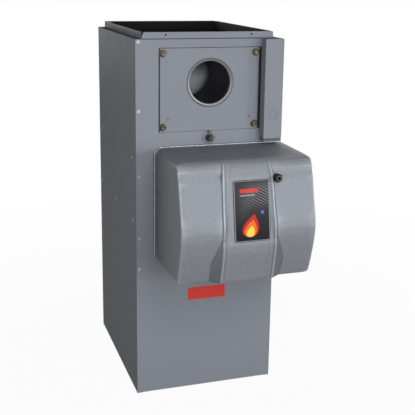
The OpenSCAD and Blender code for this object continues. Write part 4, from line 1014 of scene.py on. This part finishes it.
def collar_seam():
    """The thin dark joint between the front panel's top edge and the supply collar, and the dark
    lining behind the holes in the collar's back."""
    low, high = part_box("top_frame")
    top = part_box("front_panel")[1].z
    end = 24 * MM                        # distance of the lining's ends from the frame's
    strip("collar_seam", (low.x + 22 * MM, front - 0.4 * MM, top - 0.6 * MM),
          (channel_low.x, low.y - 0.1 * MM, top + 1.4 * MM), seal_and_shadow_edge, gasket_rubber)
    strip("collar_back_lining", (low.x + end, high.y - 3.4 * MM, top + 2 * MM),
          (high.x - end, high.y - 1.2 * MM, high.z - 1 * MM), 0.5 * MM, black_board,
          "black_board")


def channel_trims():
    """The wiring channel's end pieces: a black strip over the open top, painted shade inside the
    channel, and a rubber bush at the bottom.
    """
    low, high = channel_low, channel_high
    # Painted shade: a black strip across the channel's open top.
    strip("channel_top_shade", (low.x + 2 * MM, low.y + 2 * MM, high.z),
          (high.x - 2 * MM, high.y - 1 * MM, high.z + 0.5 * MM), 0.15 * MM, gasket_rubber)
    strip("channel_bush", (low.x + 1 * MM, low.y + 1 * MM, low.z - 10.5 * MM),
          (high.x - 0.5 * MM, high.y - 0.5 * MM, low.z - 0.1 * MM), 1.0 * MM, bush_rubber)


plate_gap_shadows()
collar_seam()
channel_trims()


# Floor, light and backdrop

def seen_rays(tree):
    """A socket that is 1 where the eye looks, straight, in a reflection or through glass."""
    rays = tree.nodes.new("ShaderNodeLightPath").outputs
    seen = rays["Is Camera Ray"]
    for kind in ("Is Glossy Ray", "Is Transmission Ray"):
        larger = tree.nodes.new("ShaderNodeMath")
        larger.operation = "MAXIMUM"
        tree.links.new(seen, larger.inputs[0])
        tree.links.new(rays[kind], larger.inputs[1])
        seen = larger.outputs[0]
    return seen


def white_ground():
    """A floor that shows white, with only the object's soft shadow on it."""
    paper = Finish("white_ground", tone(110, 110, 110), 0.9, specular=0.0)
    glow = paper.node("ShaderNodeEmission", sockets={"Color": (1, 1, 1, 1), "Strength": 1.0})
    x, y, _ = paper.axes(paper.place())
    far = (x * x + y * y).sum("SQRT").above(1.6, 0.9)
    share = Value(paper, seen_rays(paper.tree)) * (0.965 + 0.035 * far)
    mix = paper.node("ShaderNodeMixShader", sockets={
        0: share, 1: Value(paper, paper.shader.outputs[0]), 2: glow})
    output = paper.tree.nodes["Material Output"]
    paper.plug(output.inputs["Surface"], mix)
    return paper.material


def floor():
    bpy.ops.object.select_all(action="DESELECT")
    bpy.ops.mesh.primitive_plane_add(size=30, location=(0, 0, 0))
    ground = bpy.context.object
    ground.name = "floor"
    ground.data.materials.append(white_ground())


def studio():
    """An even dim surround that is white where it is seen."""
    world = bpy.data.worlds.new("studio")
    world.use_nodes = True
    bpy.context.scene.world = world
    tree = world.node_tree
    surround = tree.nodes["Background"]
    surround.inputs["Color"].default_value = (0.97, 0.98, 1.0, 1)
    surround.inputs["Strength"].default_value = 0.05
    white = tree.nodes.new("ShaderNodeBackground")
    white.inputs["Color"].default_value = (1, 1, 1, 1)
    mix = tree.nodes.new("ShaderNodeMixShader")
    tree.links.new(seen_rays(tree), mix.inputs[0])
    tree.links.new(surround.outputs[0], mix.inputs[1])
    tree.links.new(white.outputs[0], mix.inputs[2])
    tree.links.new(mix.outputs[0], tree.nodes["World Output"].inputs["Surface"])


def lamp(name, place, aim, size, power):
    """A square soft lamp that shines from a place towards an aim, with its power in watts."""
    bpy.ops.object.light_add(type="AREA", location=place)
    light = bpy.context.object
    light.name = name
    light.data.shape = "SQUARE"
    light.data.size = size
    light.data.energy = power
    light.rotation_euler = (Vector(aim) - Vector(place)).to_track_quat("-Z", "Y").to_euler()


floor()
studio()
lamp("left_lamp", (-1.2, -2.0, 1.1), (-0.28, 0, 0.7), 0.6, 13)
lamp("front_lamp", (-0.3, -3.6, 1.3), (0, -0.3, 0.45), 1.2, 14)
lamp("low_lamp", (1.3, -3.6, 1.0), (0, -0.3, 0.4), 1.2, 33)
lamp("right_lamp", (2.6, -2.6, 1.3), (0, -0.3, 0.6), 1.2, 30)
lamp("upper_lamp", (0.8, -5.6, 5.0), (0, -0.3, 0.4), 2.4, 125)
lamp("side_lamp", (4.0, 0.5, 1.6), (0.2, 0, 0.6), 2.0, 70)
lamp("back_lamp", (0.2, 4.2, 1.6), (0, 0.3, 0.6), 2.0, 110)
lamp("back_left_lamp", (-3.0, 2.6, 1.8), (-0.25, 0.2, 0.6), 1.6, 4)
bpy.context.scene.view_settings.view_transform = "Standard"
